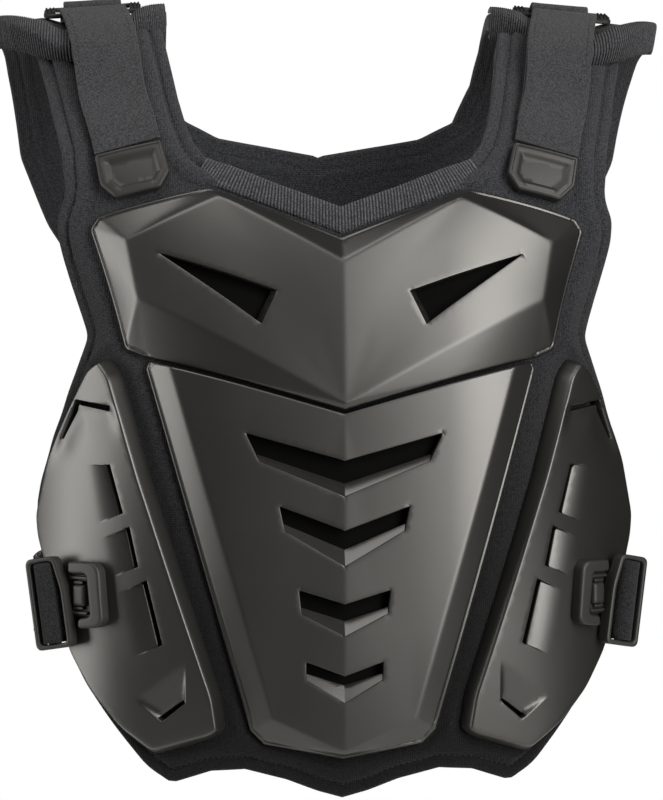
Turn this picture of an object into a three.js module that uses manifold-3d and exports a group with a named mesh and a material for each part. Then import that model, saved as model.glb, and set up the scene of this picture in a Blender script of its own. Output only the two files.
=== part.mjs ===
// Chest and back protector as worn: two padded panels, hard plates on the front one, webbing
// straps that fold over plastic rings on the shoulders, and a buckle at each side.
// Millimetres, +Z up, front towards -Y, wearer's left at +X, origin between the shoulders.
import * as THREE from 'three';
import { mergeVertices } from 'three/addons/utils/BufferGeometryUtils.js';
import Module from 'manifold-3d';

const wasm = await Module();
wasm.setup();

// Driving sizes
const GAP = 0.8;
const PLATE_SEAT = 1.3;
const PADDING = 9;
const PLATE_WALL = 2.7;
const WEBBING_WIDTH = 40;
const WEBBING_THICKNESS = 2;
const KNIT_THICKNESS = 2;

// How finely curved pieces are divided, and limits of the shape helpers
const PLATE_GRAIN = 30;
const PRISM_GRAIN = 14;
const FOLD_STEPS = 6;
const PROBE = 0.5;
const MITRE_LIMIT = 0.4;
const MERGE_DISTANCE = 1e-4;

// Vent cutters reach from below the plates to above them
const CUT = { low: 0.1, high: 30 };

// A sheet is a chain of arcs up the middle, bent sideways by a second chain of arcs.
// u runs sideways from the middle, v runs up the sheet, h stands out of its outer face.
// "bent" is the share of the sideways bend that is left above v = to.
const FRONT = {
  out: -1,
  start: { a: -116, b: -462 },
  lean: -8,
  profile: [
    { length: 100, turn: 7 },
    { length: 110, turn: 3 },
    { length: 80, turn: 10 },
    { length: 70, turn: 10 },
    { length: 70, turn: 18 },
    { length: 75, turn: 30 },
  ],
  section: [
    { length: 60, turn: 5 },
    { length: 50, turn: 15 },
    { length: 60, turn: 28 },
    { length: 50, turn: 14 },
  ],
  flatten: { from: 280, to: 400, bent: 0.35 },
};
const BACK = {
  out: 1,
  start: { a: 122, b: -421 },
  lean: 4,
  profile: [
    { length: 160, turn: -4 },
    { length: 140, turn: -8 },
    { length: 70, turn: -14 },
    { length: 70, turn: -38 },
    { length: 40, turn: -30 },
    { length: 62, turn: -50 },
  ],
  section: [
    { length: 70, turn: 6 },
    { length: 50, turn: 18 },
    { length: 60, turn: 30 },
    { length: 60, turn: 24 },
  ],
  flatten: { from: 200, to: 340, bent: 0.12 },
};

// Panel outlines: rows up the sheet, the neckline and the outer edge
const FRONT_PANEL = {
  sheet: FRONT,
  rows: [0, 4, 10, 20, 30, 45, 60, 80, 105, 138, 152, 168, 182, 198, 213, 229, 244, 259, 274, 291,
    308, 324, 339, 346, 352, 360, 368, 376, 381, 392, 408, 428, 450, 468, 485],
  columns: [0, 0.14, 0.33, 0.45, 0.57, 0.77, 0.9, 1],
  neckline: [
    { v: 346, u: 0 }, { v: 360, u: 35 }, { v: 376, u: 70 }, { v: 381, u: 79 }, { v: 392, u: 86 },
    { v: 408, u: 91 }, { v: 428, u: 95 }, { v: 468, u: 101 }, { v: 485, u: 103 },
  ],
  edge: [
    { v: 0, u: 100 }, { v: 4, u: 110 }, { v: 10, u: 117 }, { v: 30, u: 135 }, { v: 60, u: 160 },
    { v: 80, u: 174 }, { v: 105, u: 187 }, { v: 138, u: 200 }, { v: 152, u: 205 }, { v: 168, u: 208 },
    { v: 182, u: 204 }, { v: 229, u: 180 }, { v: 274, u: 158 }, { v: 291, u: 164 }, { v: 308, u: 169 },
    { v: 324, u: 172 }, { v: 339, u: 173.5 }, { v: 352, u: 172 }, { v: 360, u: 167 }, { v: 368, u: 165 },
    { v: 392, u: 166 }, { v: 428, u: 173 }, { v: 485, u: 180 },
  ],
  hem: [
    { u: 0, v: -3 }, { u: 14, v: 1 }, { u: 33, v: 8 }, { u: 57, v: 14 }, { u: 77, v: 12.5 },
    { u: 98, v: 5 },
  ],
  hemHeight: 60,
};
const FLAP = { middle: 154, half: 53, recede: 48, from: 440, end: 542 };
const BACK_PANEL = {
  sheet: BACK,
  rows: [0, 10, 28, 52, 82, 115, 145, 175, 205, 230, 255, 280, 305, 330, 352, 364, 376, 390, 405,
    420, 435, 450, 465, 480, 495, 510, 526, 542],
  columns: [0, 0.17, 0.34, 0.5, 0.66, 0.82, 0.93, 1],
  neckline: [
    { v: 352, u: 0 }, { v: 364, u: 66 }, { v: 376, u: 88 }, { v: 405, u: 98 }, { v: 435, u: 101 },
    { v: 542, u: 101 },
  ],
  edge: [
    { v: 0, u: 108 }, { v: 10, u: 126 }, { v: 28, u: 147 }, { v: 52, u: 167 }, { v: 82, u: 184 },
    { v: 115, u: 193 }, { v: 145, u: 195 }, { v: 175, u: 186 }, { v: 230, u: 160 }, { v: 255, u: 156 },
    { v: 280, u: 164 }, { v: 305, u: 179 }, { v: 352, u: 196 }, { v: 420, u: 203 }, { v: 480, u: 207 },
    { v: 542, u: 207 },
  ],
};

// Hard plates: named corners on the front sheet, and the facets between them
const CHEST = {
  corners: {
    topMiddle: { u: 0, v: 326, h: 3 },
    ridgeTop: { u: 0, v: 308, h: 15 },
    ridgeLow: { u: 0, v: 226, h: 15 },
    apexRim: { u: 77, v: 358, h: 3 },
    apex: { u: 70, v: 349, h: 11 },
    shoulderRim: { u: 143, v: 346, h: 3 },
    outerRim: { u: 149, v: 339, h: 3 },
    faceOuter: { u: 123, v: 326, h: 12 },
    faceLow: { u: 116, v: 290, h: 13 },
    lowerRim: { u: 128, v: 262, h: 3 },
    cornerRim: { u: 117, v: 257, h: 3 },
    lowerMiddle: { u: 58, v: 240, h: 9 },
    lowerRidge: { u: 0, v: 223, h: 13 },
  },
  facets: [
    ['ridgeTop', 'ridgeLow', 'faceLow', 'faceOuter', 'apex'],
    ['topMiddle', 'ridgeTop', 'apex', 'apexRim'],
    ['apexRim', 'apex', 'faceOuter', 'shoulderRim'],
    ['shoulderRim', 'faceOuter', 'outerRim'],
    ['outerRim', 'faceOuter', 'faceLow', 'lowerRim'],
    ['lowerRim', 'faceLow', 'cornerRim'],
    ['faceLow', 'ridgeLow', 'lowerMiddle', 'cornerRim'],
    ['ridgeLow', 'lowerRidge', 'lowerMiddle'],
  ],
};
const CHEST_VENT = [{ u: 38, v: 291 }, { u: 47, v: 272 }, { u: 104, v: 316 }];
const ABDOMEN = {
  corners: {
    ridgeTop: { u: 0, v: 221, h: 12 },
    ridgeLow: { u: 0, v: 27, h: 12 },
    lowRim: { u: 0, v: 21, h: 3 },
    faceTop: { u: 98, v: 249, h: 11 },
    faceLow: { u: 41, v: 46, h: 10 },
    topRim: { u: 113, v: 254, h: 3 },
    topOuter: { u: 115, v: 249, h: 3 },
    lowOuter: { u: 54, v: 38, h: 3 },
    lowCorner: { u: 46, v: 30, h: 3 },
  },
  facets: [
    ['ridgeTop', 'ridgeLow', 'faceLow', 'faceTop'],
    ['faceTop', 'faceLow', 'lowOuter', 'topOuter'],
    ['faceTop', 'topOuter', 'topRim'],
    ['ridgeLow', 'lowRim', 'lowCorner', 'faceLow'],
    ['faceLow', 'lowCorner', 'lowOuter'],
  ],
};
const ABDOMEN_VENTS = [
  { tipU: 56, tipV: 210, endU: 50, endV: 198, ridgeTop: 194, ridgeLow: 181 },
  { tipU: 37, tipV: 168, endU: 35, endV: 158, ridgeTop: 154, ridgeLow: 143 },
  { tipU: 26, tipV: 120, endU: 25, endV: 110, ridgeTop: 112, ridgeLow: 102 },
  { tipU: 22, tipV: 79, endU: 22, endV: 72, ridgeTop: 71, ridgeLow: 65 },
];
const SIDE_OUTLINE = [
  { u: 140, v: 259 }, { u: 131, v: 247 }, { u: 113, v: 186 }, { u: 90, v: 116 }, { u: 71, v: 59 },
  { u: 68, v: 38 }, { u: 74, v: 33 }, { u: 110, v: 21 }, { u: 132, v: 36 }, { u: 151, v: 55 },
  { u: 167, v: 78 }, { u: 197, v: 148 }, { u: 199, v: 162 }, { u: 187, v: 197 }, { u: 166, v: 232 },
  { u: 152, v: 253 },
];
const SIDE_BEVEL = { width: 6, rim: 3, top: 8 };
const SIDE_SLITS = [
  { topU: 134, topV: 192, lowU: 126, lowV: 164, width: 3.5 },
  { topU: 122, topV: 156, lowU: 117, lowV: 133, width: 3.5 },
  { topU: 112, topV: 125, lowU: 103, lowV: 88, width: 3.5 },
  { topU: 155, topV: 229, lowU: 135, lowV: 224, width: 3.5 },
  { topU: 158, topV: 228, lowU: 169, lowV: 209, width: 3 },
  { topU: 91, topV: 54, lowU: 104, lowV: 43, width: 3 },
];

// Knitted bands along the neckline and the flap ends
const NECK_BAND = [
  { u: 0, v: 345.5 }, { u: 35, v: 359.5 }, { u: 70, v: 375.5 }, { u: 78, v: 380 }, { u: 86, v: 366 },
  { u: 79, v: 361.5 }, { u: 0, v: 328.5 },
];
const FLAP_BAND = { inner: 102, outer: 206, width: 17, margin: 0.5, steps: 14 };

// Shoulder strap: the sewn end on the front panel, up over the flap, round the ring and back
// down to the tab
const STRAP_BAR = { u: 146.5, v: 504.5, h: 5.6, radius: 3.7 };
const STRAP_UP = [
  { sheet: FRONT, u: 128, v: 404, h: 1.6 },
  { sheet: FRONT, u: 133, v: 428, h: 3.4 },
  { sheet: BACK, u: 139, v: 540, h: 5.6 },
  { sheet: BACK, u: 141, v: 530, h: 5.2 },
  { sheet: BACK, u: 144, v: 514, h: 4.9 },
];
const STRAP_DOWN = [
  { sheet: BACK, u: 144, v: 516, h: 8.8 },
  { sheet: BACK, u: 141, v: 530, h: 8.5 },
  { sheet: BACK, u: 139, v: 541, h: 8.6 },
  { sheet: FRONT, u: 132.5, v: 424, h: 8 },
  { sheet: FRONT, u: 128, v: 405, h: 6.6 },
  { sheet: FRONT, u: 124.4, v: 387, h: 5.6 },
];
const STRAP_TAB = {
  outline: [
    { u: 104.5, v: 388.5 }, { u: 99.5, v: 368 }, { u: 105, v: 358 }, { u: 131, v: 354 },
    { u: 140, v: 363 }, { u: 143.5, v: 382 },
  ],
  rim: 5, low: 3, floor: 6, high: 8,
};
const RING = { width: 60, depth: 27, bar: 3.2, end: 7, thick: 3, tilt: 6, u: 146.5, v: 492.9, h: 5.9 };
const KEEPER = { bar: { u: 146.5, v: 481.7, h: 8.05, radius: 4.1 }, tails: [450, 463], rise: 2.6, width: 36 };

// Side buckle: a housing on the side plate, a pin in it, and a frame that holds the webbing
const HOUSING = {
  outline: [
    { u: 158, v: 135 }, { u: 141, v: 135 }, { u: 137.5, v: 131 }, { u: 135, v: 101 }, { u: 138, v: 97 },
    { u: 151, v: 95.5 }, { u: 151, v: 101.5 }, { u: 143, v: 103 }, { u: 145.5, v: 128 }, { u: 158, v: 128 },
  ],
  low: 8.4, high: 16,
};
const PIN = { u: 152, v: 115, width: 9, length: 21, low: 8.4, high: 14 };
const FRAME = {
  place: { x: 169.5, y: -90.5, z: -352 },
  turn: 30,
  tilt: 9,
  height: 54, wide: 24.5, narrow: 20.5, corner: 6.75, rim: 3, thick: 8,
  bar: 7.6, barThick: 4, barPlace: 0.9,
};
// Webbing at the side: its path round the frame's post, across and out from the post, then the
// swing to its sewn end on the back panel
const SIDE_STRAP = {
  loop: [
    { x: 1, z: -7.5 }, { x: -3.6, z: -6 }, { x: -5.3, z: -2.05 }, { x: -5.3, z: 1.6 }, { x: -3.9, z: 4.1 },
    { x: 3.8, z: 4.1 }, { x: 5.8, z: 1.4 }, { x: 5.8, z: -2.05 }, { x: 7.2, z: -9 },
  ],
  width: 44,
  swing: { x: 182, y: -6, steps: 12 },
  back: { v: 68, h: 3.8, from: 176, to: 145 },
};

const FINISHES = {
  pad: { color: 0x2f3032, roughness: 0.9 },
  knit: { color: 0x2b2c2f, roughness: 0.95 },
  plate: { color: 0x4a4a48, roughness: 0.45 },
  webbing: { color: 0x333436, roughness: 0.85 },
  plastic: { color: 0x3a3a3b, roughness: 0.4 },
};

// Point and heading after a distance along a chain of arcs
function walk(start, heading, arcs, distance, bend = 1) {
  let { a, b } = start;
  let angle = heading;
  let left = distance;
  arcs.forEach((arc, index) => {
    const last = index === arcs.length - 1;
    const step = last ? left : Math.min(left, arc.length);
    const curve = THREE.MathUtils.degToRad(arc.turn) * bend / arc.length;
    const next = angle + curve * step;
    a += (Math.cos(angle) - Math.cos(next)) / curve;
    b += (Math.sin(next) - Math.sin(angle)) / curve;
    angle = next;
    left -= step;
  });
  return { a, b, angle };
}

// Place of sheet coordinates in space
function onSheet(sheet, u, v, h = 0) {
  const side = u < 0 ? -1 : 1;
  const spine = walk(sheet.start, THREE.MathUtils.degToRad(sheet.lean), sheet.profile, v);
  const { from, to, bent } = sheet.flatten;
  const bend = 1 - (1 - bent) * THREE.MathUtils.smoothstep(v, from, to);
  const across = walk({ a: 0, b: 0 }, 0, sheet.section, Math.abs(u), bend);
  const inward = across.a - h * Math.cos(across.angle);
  return new THREE.Vector3(
    side * (across.b + h * Math.sin(across.angle)),
    spine.a - sheet.out * Math.cos(spine.angle) * inward,
    spine.b + sheet.out * Math.sin(spine.angle) * inward,
  );
}

// Right-handed unit vectors sideways, along the sheet and out of it
function axesOn(sheet, u, v) {
  const sideways = onSheet(sheet, u + PROBE, v).sub(onSheet(sheet, u - PROBE, v)).normalize();
  const out = onSheet(sheet, u, v, PROBE).sub(onSheet(sheet, u, v)).normalize();
  const along = new THREE.Vector3().crossVectors(out, sideways);
  return { sideways, along, out };
}

// Value of a table column between its rows
function lookUp(table, key, value, at) {
  if (at <= table[0][key]) return table[0][value];
  for (let i = 1; i < table.length; i += 1) {
    const [low, high] = [table[i - 1], table[i]];
    if (at <= high[key]) {
      return THREE.MathUtils.mapLinear(at, low[key], high[key], low[value], high[value]);
    }
  }
  return table.at(-1)[value];
}

// Closed geometry from a list of triangle corners
function solid(corners) {
  const geometry = new THREE.BufferGeometry().setFromPoints(corners);
  return mergeVertices(geometry, MERGE_DISTANCE);
}

function addQuad(corners, a, b, c, d, flip) {
  if (flip) corners.push(a, c, b, a, d, c);
  else corners.push(a, b, c, a, c, d);
}

function toManifold(geometry) {
  const vertProperties = new Float32Array(geometry.attributes.position.array);
  const triVerts = new Uint32Array(geometry.index.array);
  return new wasm.Manifold(new wasm.Mesh({ numProp: 3, vertProperties, triVerts }));
}

function fromManifold(manifold) {
  const mesh = manifold.getMesh();
  const geometry = new THREE.BufferGeometry();
  geometry.setAttribute('position', new THREE.BufferAttribute(new Float32Array(mesh.vertProperties), 3));
  geometry.setIndex(new THREE.BufferAttribute(new Uint32Array(mesh.triVerts), 1));
  return geometry;
}

function cut(geometry, cutters) {
  let body = toManifold(geometry);
  for (const cutter of cutters) body = body.subtract(toManifold(cutter));
  return fromManifold(body);
}

// Padded panel: a grid in each half, its two faces and its edges
function panel(spec, bendRows) {
  const { sheet, rows, columns, neckline, edge } = spec;
  const corners = [];
  for (const side of [1, -1]) {
    const flip = (sheet.out > 0) !== (side < 0);
    const grid = rows.map((row) => {
      const inner = row <= neckline[0].v ? 0 : lookUp(neckline, 'v', 'u', row);
      const outer = lookUp(edge, 'v', 'u', row);
      return columns.map((share) => {
        const u = THREE.MathUtils.lerp(inner, outer, share);
        const v = bendRows(u, row);
        return [onSheet(sheet, u, v), onSheet(sheet, u, v, -PADDING)].map(
          (point) => point.multiply(new THREE.Vector3(side, 1, 1)),
        );
      });
    });
    const end = columns.length - 1;
    for (let i = 0; i < rows.length - 1; i += 1) {
      const [low, high] = [grid[i], grid[i + 1]];
      for (let j = 0; j < end; j += 1) {
        addQuad(corners, low[j][0], low[j + 1][0], high[j + 1][0], high[j][0], flip);
        addQuad(corners, low[j][1], high[j][1], high[j + 1][1], low[j + 1][1], flip);
      }
      addQuad(corners, low[end][0], low[end][1], high[end][1], high[end][0], flip);
      if (rows[i + 1] > neckline[0].v) addQuad(corners, low[0][0], high[0][0], high[0][1], low[0][1], flip);
    }
    const [first, last] = [grid[0], grid.at(-1)];
    for (let j = 0; j < end; j += 1) {
      addQuad(corners, first[j][0], first[j][1], first[j + 1][1], first[j + 1][0], flip);
      addQuad(corners, last[j][0], last[j + 1][0], last[j + 1][1], last[j][1], flip);
    }
  }
  return solid(corners);
}

function frontHem(u, row) {
  const { hem, hemHeight } = FRONT_PANEL;
  return row + lookUp(hem, 'u', 'v', u) * Math.max(0, 1 - row / hemHeight);
}

function flapEnd(u, row) {
  const share = THREE.MathUtils.clamp((row - FLAP.from) / (FLAP.end - FLAP.from), 0, 1);
  return row - share * FLAP.recede * ((u - FLAP.middle) / FLAP.half) ** 2;
}

// Outline on the wearer's left (1) or right (-1)
function sided(outline, side) {
  return outline.map(({ u, v }) => ({ u: side * u, v }));
}

// Triangles of a polygon in sheet coordinates, counter-clockwise
function fill(points) {
  const contour = points.map((point) => new THREE.Vector2(point.u, point.v));
  return THREE.ShapeUtils.triangulateShape(contour, []).map((triangle) => {
    const flat = triangle.map((index) => contour[index]);
    const ordered = THREE.ShapeUtils.isClockWise(flat) ? [...triangle].reverse() : triangle;
    return ordered.map((index) => points[index]);
  });
}

function mirror(triangles) {
  return triangles.map((triangle) => triangle.map((point) => ({ ...point, u: -point.u })).reverse());
}

// Halves the longest edge until every edge is short enough to follow the sheet's curve
function refine(triangles, limit) {
  const done = [];
  const open = [...triangles];
  while (open.length > 0) {
    const [a, b, c] = open.pop();
    const turns = [[a, b, c], [b, c, a], [c, a, b]];
    const lengths = turns.map(([p, q]) => Math.hypot(q.u - p.u, q.v - p.v));
    const longest = Math.max(...lengths);
    if (longest <= limit) {
      done.push([a, b, c]);
    } else {
      const [p, q, r] = turns[lengths.indexOf(longest)];
      const middle = { u: (p.u + q.u) / 2, v: (p.v + q.v) / 2, h: (p.h + q.h) / 2 };
      open.push([p, middle, r], [middle, q, r]);
    }
  }
  return done;
}

// Shell of even wall under a faceted face, open towards the sheet, no lower than its seat
function shell(sheet, triangles, wall, seat = -Infinity) {
  const corners = [];
  const outside = (point) => onSheet(sheet, point.u, point.v, point.h);
  const inside = (point) => onSheet(sheet, point.u, point.v, Math.max(seat, point.h - wall));
  const edges = new Map();
  const name = (point) => `${point.u.toFixed(3)},${point.v.toFixed(3)}`;
  for (const triangle of triangles) {
    corners.push(...triangle.map(outside), ...[...triangle].reverse().map(inside));
    triangle.forEach((from, index) => {
      const to = triangle[(index + 1) % 3];
      const back = `${name(to)} ${name(from)}`;
      if (edges.has(back)) edges.delete(back);
      else edges.set(`${name(from)} ${name(to)}`, [from, to]);
    });
  }
  for (const [from, to] of edges.values()) {
    addQuad(corners, outside(to), outside(from), inside(from), inside(to), false);
  }
  return solid(sheet.out > 0 ? corners.reverse() : corners);
}

function facetPlate(plate) {
  const half = plate.facets.flatMap((names) => fill(names.map((name) => plate.corners[name])));
  const triangles = refine([...half, ...mirror(half)], PLATE_GRAIN);
  return shell(FRONT, triangles, PLATE_WALL, PLATE_SEAT);
}

// Solid between two heights over an outline in sheet coordinates
function prism(sheet, outline, low, high) {
  const rising = outline.map((point) => ({ ...point, h: high }));
  const triangles = refine(fill(rising), PRISM_GRAIN);
  return shell(sheet, triangles, high - low);
}

// Outline moved inwards by a width, corner by corner
function inset(outline, width) {
  return outline.map((point, index) => {
    const before = outline.at(index - 1);
    const after = outline[(index + 1) % outline.length];
    const into = new THREE.Vector2(point.u - before.u, point.v - before.v).normalize();
    const away = new THREE.Vector2(after.u - point.u, after.v - point.v).normalize();
    const normal = new THREE.Vector2(-into.y - away.y, into.x + away.x).normalize();
    const reach = width / Math.max(MITRE_LIMIT, normal.dot(new THREE.Vector2(-into.y, into.x)));
    return { u: point.u + normal.x * reach, v: point.v + normal.y * reach };
  });
}

function sidePlate(side) {
  const { width, rim, top } = SIDE_BEVEL;
  const outer = SIDE_OUTLINE.map((point) => ({ ...point, h: rim }));
  const inner = inset(SIDE_OUTLINE, width).map((point) => ({ ...point, h: top }));
  const triangles = fill(inner);
  outer.forEach((point, index) => {
    const next = (index + 1) % outer.length;
    triangles.push([point, outer[next], inner[next]], [point, inner[next], inner[index]]);
  });
  const cutters = SIDE_SLITS.map((slit) => slitCutter(slit, side));
  const face = refine(side > 0 ? triangles : mirror(triangles), PLATE_GRAIN);
  return cut(shell(FRONT, face, PLATE_WALL, PLATE_SEAT), cutters);
}

function cutter(outline) {
  return shell(FRONT, fill(outline.map((point) => ({ ...point, h: CUT.high }))), CUT.high - CUT.low);
}

function slitCutter(slit, side) {
  const along = new THREE.Vector2(slit.lowU - slit.topU, slit.lowV - slit.topV).normalize();
  const across = { u: -along.y * slit.width / 2, v: along.x * slit.width / 2 };
  const ends = [[slit.topU, slit.topV], [slit.lowU, slit.lowV]];
  const [top, low] = ends.map(([u, v]) => [1, -1].map((way) => ({
    u: side * (u + way * across.u),
    v: v + way * across.v,
  })));
  return cutter([top[0], top[1], low[1], low[0]]);
}

function chestPlate() {
  const cutters = [1, -1].map((side) => cutter(sided(CHEST_VENT, side)));
  return cut(facetPlate(CHEST), cutters);
}

function abdomenPlate() {
  const cutters = ABDOMEN_VENTS.map((vent) => cutter([
    { u: 0, v: vent.ridgeTop },
    { u: -vent.tipU, v: vent.tipV },
    { u: -vent.endU, v: vent.endV },
    { u: 0, v: vent.ridgeLow },
    { u: vent.endU, v: vent.endV },
    { u: vent.tipU, v: vent.tipV },
  ]));
  return cut(facetPlate(ABDOMEN), cutters);
}

function neckBand() {
  const left = NECK_BAND.filter((point) => point.u > 0).map((point) => ({ ...point, u: -point.u }));
  return prism(FRONT, [...NECK_BAND, ...left.reverse()], GAP, GAP + KNIT_THICKNESS);
}

function flapBand(side) {
  const { inner, outer, width, margin, steps } = FLAP_BAND;
  const front = [];
  const rear = [];
  for (let i = 0; i <= steps; i += 1) {
    const u = THREE.MathUtils.lerp(inner, outer, i / steps);
    const v = flapEnd(u, FLAP.end) - margin;
    front.push({ u: side * u, v });
    rear.push({ u: side * u, v: v - width });
  }
  return prism(BACK, [...front, ...rear.reverse()], GAP, GAP + KNIT_THICKNESS);
}

// Flat strip through stations, each with a centre and a direction across the strip
function ribbon(stations, width, thickness) {
  const rings = stations.map((station, index) => {
    const before = stations[Math.max(0, index - 1)].centre;
    const after = stations[Math.min(stations.length - 1, index + 1)].centre;
    const along = after.clone().sub(before).normalize();
    const across = station.across.clone().addScaledVector(along, -along.dot(station.across)).normalize();
    const normal = new THREE.Vector3().crossVectors(across, along);
    return [[-1, -1], [1, -1], [1, 1], [-1, 1]].map(([x, z]) => station.centre.clone()
      .addScaledVector(across, x * width / 2)
      .addScaledVector(normal, z * thickness / 2));
  });
  const corners = [];
  for (let i = 0; i < rings.length - 1; i += 1) {
    const [near, far] = [rings[i], rings[i + 1]];
    for (const [j, k] of [[0, 1], [1, 2], [3, 0]]) addQuad(corners, near[j], near[k], far[k], far[j], true);
    addQuad(corners, near[3], far[3], far[2], near[2], true);
  }
  addQuad(corners, ...rings[0], false);
  addQuad(corners, ...rings.at(-1), true);
  return solid(corners);
}

// Half turn of webbing round a bar that lies on the back sheet
function fold(bar, way) {
  return Array.from({ length: FOLD_STEPS + 1 }, (unused, index) => {
    const angle = Math.PI * index / FOLD_STEPS;
    return {
      sheet: BACK,
      u: bar.u,
      v: bar.v + way * bar.radius * Math.sin(angle),
      h: bar.h - bar.radius * Math.cos(angle),
    };
  });
}

function stationsOn(rows, side) {
  return rows.map(({ sheet, u, v, h }) => ({
    centre: onSheet(sheet, side * u, v, h),
    across: axesOn(sheet, side * u, v).sideways,
  }));
}

function shoulderStrap(side) {
  const rows = [...STRAP_UP, ...fold(STRAP_BAR, -1), ...STRAP_DOWN];
  return ribbon(stationsOn(rows, side), WEBBING_WIDTH, WEBBING_THICKNESS);
}

function ringKeeper(side) {
  const { bar, tails, rise, width } = KEEPER;
  const low = tails.map((v) => ({ sheet: BACK, u: bar.u, v, h: GAP + WEBBING_THICKNESS / 2 }));
  const high = low.map((row) => ({ ...row, h: row.h + rise })).reverse();
  return ribbon(stationsOn([...low, ...fold(bar, 1), ...high], side), width, WEBBING_THICKNESS);
}

function strapTab(side) {
  const { outline, rim, low, floor, high } = STRAP_TAB;
  const pocket = sided(inset(outline, rim), side).map((point) => ({ ...point, h: CUT.high }));
  const hollow = shell(FRONT, fill(pocket), CUT.high - floor);
  return cut(prism(FRONT, sided(outline, side), low, high), [hollow]);
}

function anticlockwise(outline) {
  const points = outline.map(([x, y]) => new THREE.Vector2(x, y));
  return THREE.ShapeUtils.isClockWise(points) ? points.reverse() : points;
}

// Plate with windows, lying in its own XY plane about Z = 0
function framed(outline, windows, thickness) {
  const shape = new THREE.Shape(anticlockwise(outline));
  shape.holes = windows.map((window) => new THREE.Path(anticlockwise(window)));
  const geometry = new THREE.ExtrudeGeometry(shape, { depth: thickness, bevelEnabled: false });
  geometry.deleteAttribute('normal');
  geometry.deleteAttribute('uv');
  geometry.translate(0, 0, -thickness / 2);
  return mergeVertices(geometry, MERGE_DISTANCE);
}

function rectangle(width, height) {
  return [[-width / 2, -height / 2], [width / 2, -height / 2], [width / 2, height / 2],
    [-width / 2, height / 2]];
}

function shoulderRing(side) {
  const { width, depth, bar, end, thick, tilt, u, v, h } = RING;
  const window = rectangle(width - 2 * end, depth - 2 * bar);
  const geometry = framed(rectangle(width, depth), [window], thick);
  const { sideways, along, out } = axesOn(BACK, side * u, v);
  const place = new THREE.Matrix4().makeBasis(sideways, along, out);
  place.setPosition(onSheet(BACK, side * u, v, h));
  place.multiply(new THREE.Matrix4().makeRotationX(THREE.MathUtils.degToRad(tilt)));
  return geometry.applyMatrix4(place);
}

// Axes of the buckle frame: sideways, up and out, turned to the side and tilted
function frameAxes(side) {
  const turn = THREE.MathUtils.degToRad(FRAME.turn) * side;
  const tilt = THREE.MathUtils.degToRad(FRAME.tilt) * side;
  return new THREE.Matrix4()
    .makeTranslation(side * FRAME.place.x, FRAME.place.y, FRAME.place.z)
    .multiply(new THREE.Matrix4().makeRotationZ(turn))
    .multiply(new THREE.Matrix4().makeRotationX(Math.PI / 2))
    .multiply(new THREE.Matrix4().makeRotationZ(-tilt));
}

function buckleFrame(side) {
  const { height, wide, narrow, corner, rim, thick, bar, barThick, barPlace } = FRAME;
  const outer = side * wide / 2;
  const top = height / 2;
  const shoulder = outer - side * narrow;
  const outline = [[outer, -top], [outer, top], [shoulder, top], [-outer, corner], [-outer, -top]];
  const window = inset(outline.map(([u, v]) => ({ u, v })), side * rim).map(({ u, v }) => [u, v]);
  const ring = toManifold(framed(outline, [window], thick));
  const post = framed(rectangle(bar, height - rim), [], barThick).translate(side * barPlace, 0, 0);
  return fromManifold(ring.add(toManifold(post))).applyMatrix4(frameAxes(side));
}

function sideStrap(side) {
  const { loop, width, swing, back } = SIDE_STRAP;
  const axes = frameAxes(side);
  const across = new THREE.Vector3(0, 1, 0).transformDirection(axes);
  const stations = loop.map(({ x, z }) => ({
    centre: new THREE.Vector3(side * (FRAME.barPlace + x), 0, z).applyMatrix4(axes),
    across,
  }));
  const upright = new THREE.Vector3(0, 0, 1);
  const round = new THREE.CatmullRomCurve3([
    stations.at(-1).centre,
    new THREE.Vector3(side * swing.x, swing.y, FRAME.place.z),
    onSheet(BACK, side * back.from, back.v, back.h),
    onSheet(BACK, side * back.to, back.v, back.h),
  ]);
  for (const centre of round.getPoints(swing.steps).slice(1)) stations.push({ centre, across: upright });
  return ribbon(stations, width, WEBBING_THICKNESS);
}

function buckleHousing(side) {
  return prism(FRONT, sided(HOUSING.outline, side), HOUSING.low, HOUSING.high);
}

function bucklePin(side) {
  const { u, v, width, length, low, high } = PIN;
  const outline = rectangle(width, length).map(([x, y]) => ({ u: u + x, v: v + y }));
  return prism(FRONT, sided(outline, side), low, high);
}

const part = new THREE.Group();

function add(name, geometry, finish) {
  const material = new THREE.MeshStandardMaterial({ ...FINISHES[finish], metalness: 0 });
  const mesh = new THREE.Mesh(geometry, material);
  mesh.name = name;
  part.add(mesh);
}

add('front_panel', panel(FRONT_PANEL, frontHem), 'pad');
add('back_panel', panel(BACK_PANEL, flapEnd), 'pad');
add('chest_plate', chestPlate(), 'plate');
add('abdomen_plate', abdomenPlate(), 'plate');
add('neck_band', neckBand(), 'knit');
for (const [suffix, side] of [['left', 1], ['right', -1]]) {
  add(`side_plate_${suffix}`, sidePlate(side), 'plate');
  add(`shoulder_band_${suffix}`, flapBand(side), 'knit');
  add(`shoulder_strap_${suffix}`, shoulderStrap(side), 'webbing');
  add(`strap_tab_${suffix}`, strapTab(side), 'plastic');
  add(`shoulder_ring_${suffix}`, shoulderRing(side), 'plastic');
  add(`ring_keeper_${suffix}`, ringKeeper(side), 'webbing');
  add(`buckle_housing_${suffix}`, buckleHousing(side), 'plastic');
  add(`buckle_pin_${suffix}`, bucklePin(side), 'plastic');
  add(`buckle_frame_${suffix}`, buckleFrame(side), 'plastic');
  add(`side_strap_${suffix}`, sideStrap(side), 'webbing');
}

export default part;
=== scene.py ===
"""Looks of the body armor vest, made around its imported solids.

Sizes in the tables are millimetres on a panel's curved sheet: u runs sideways from the middle,
v runs up the sheet and h stands out of its outer face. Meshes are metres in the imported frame.
"""

import math

import bmesh
import bpy
import numpy as np
from mathutils import Matrix, Vector
from mathutils.geometry import delaunay_2d_cdt


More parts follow.
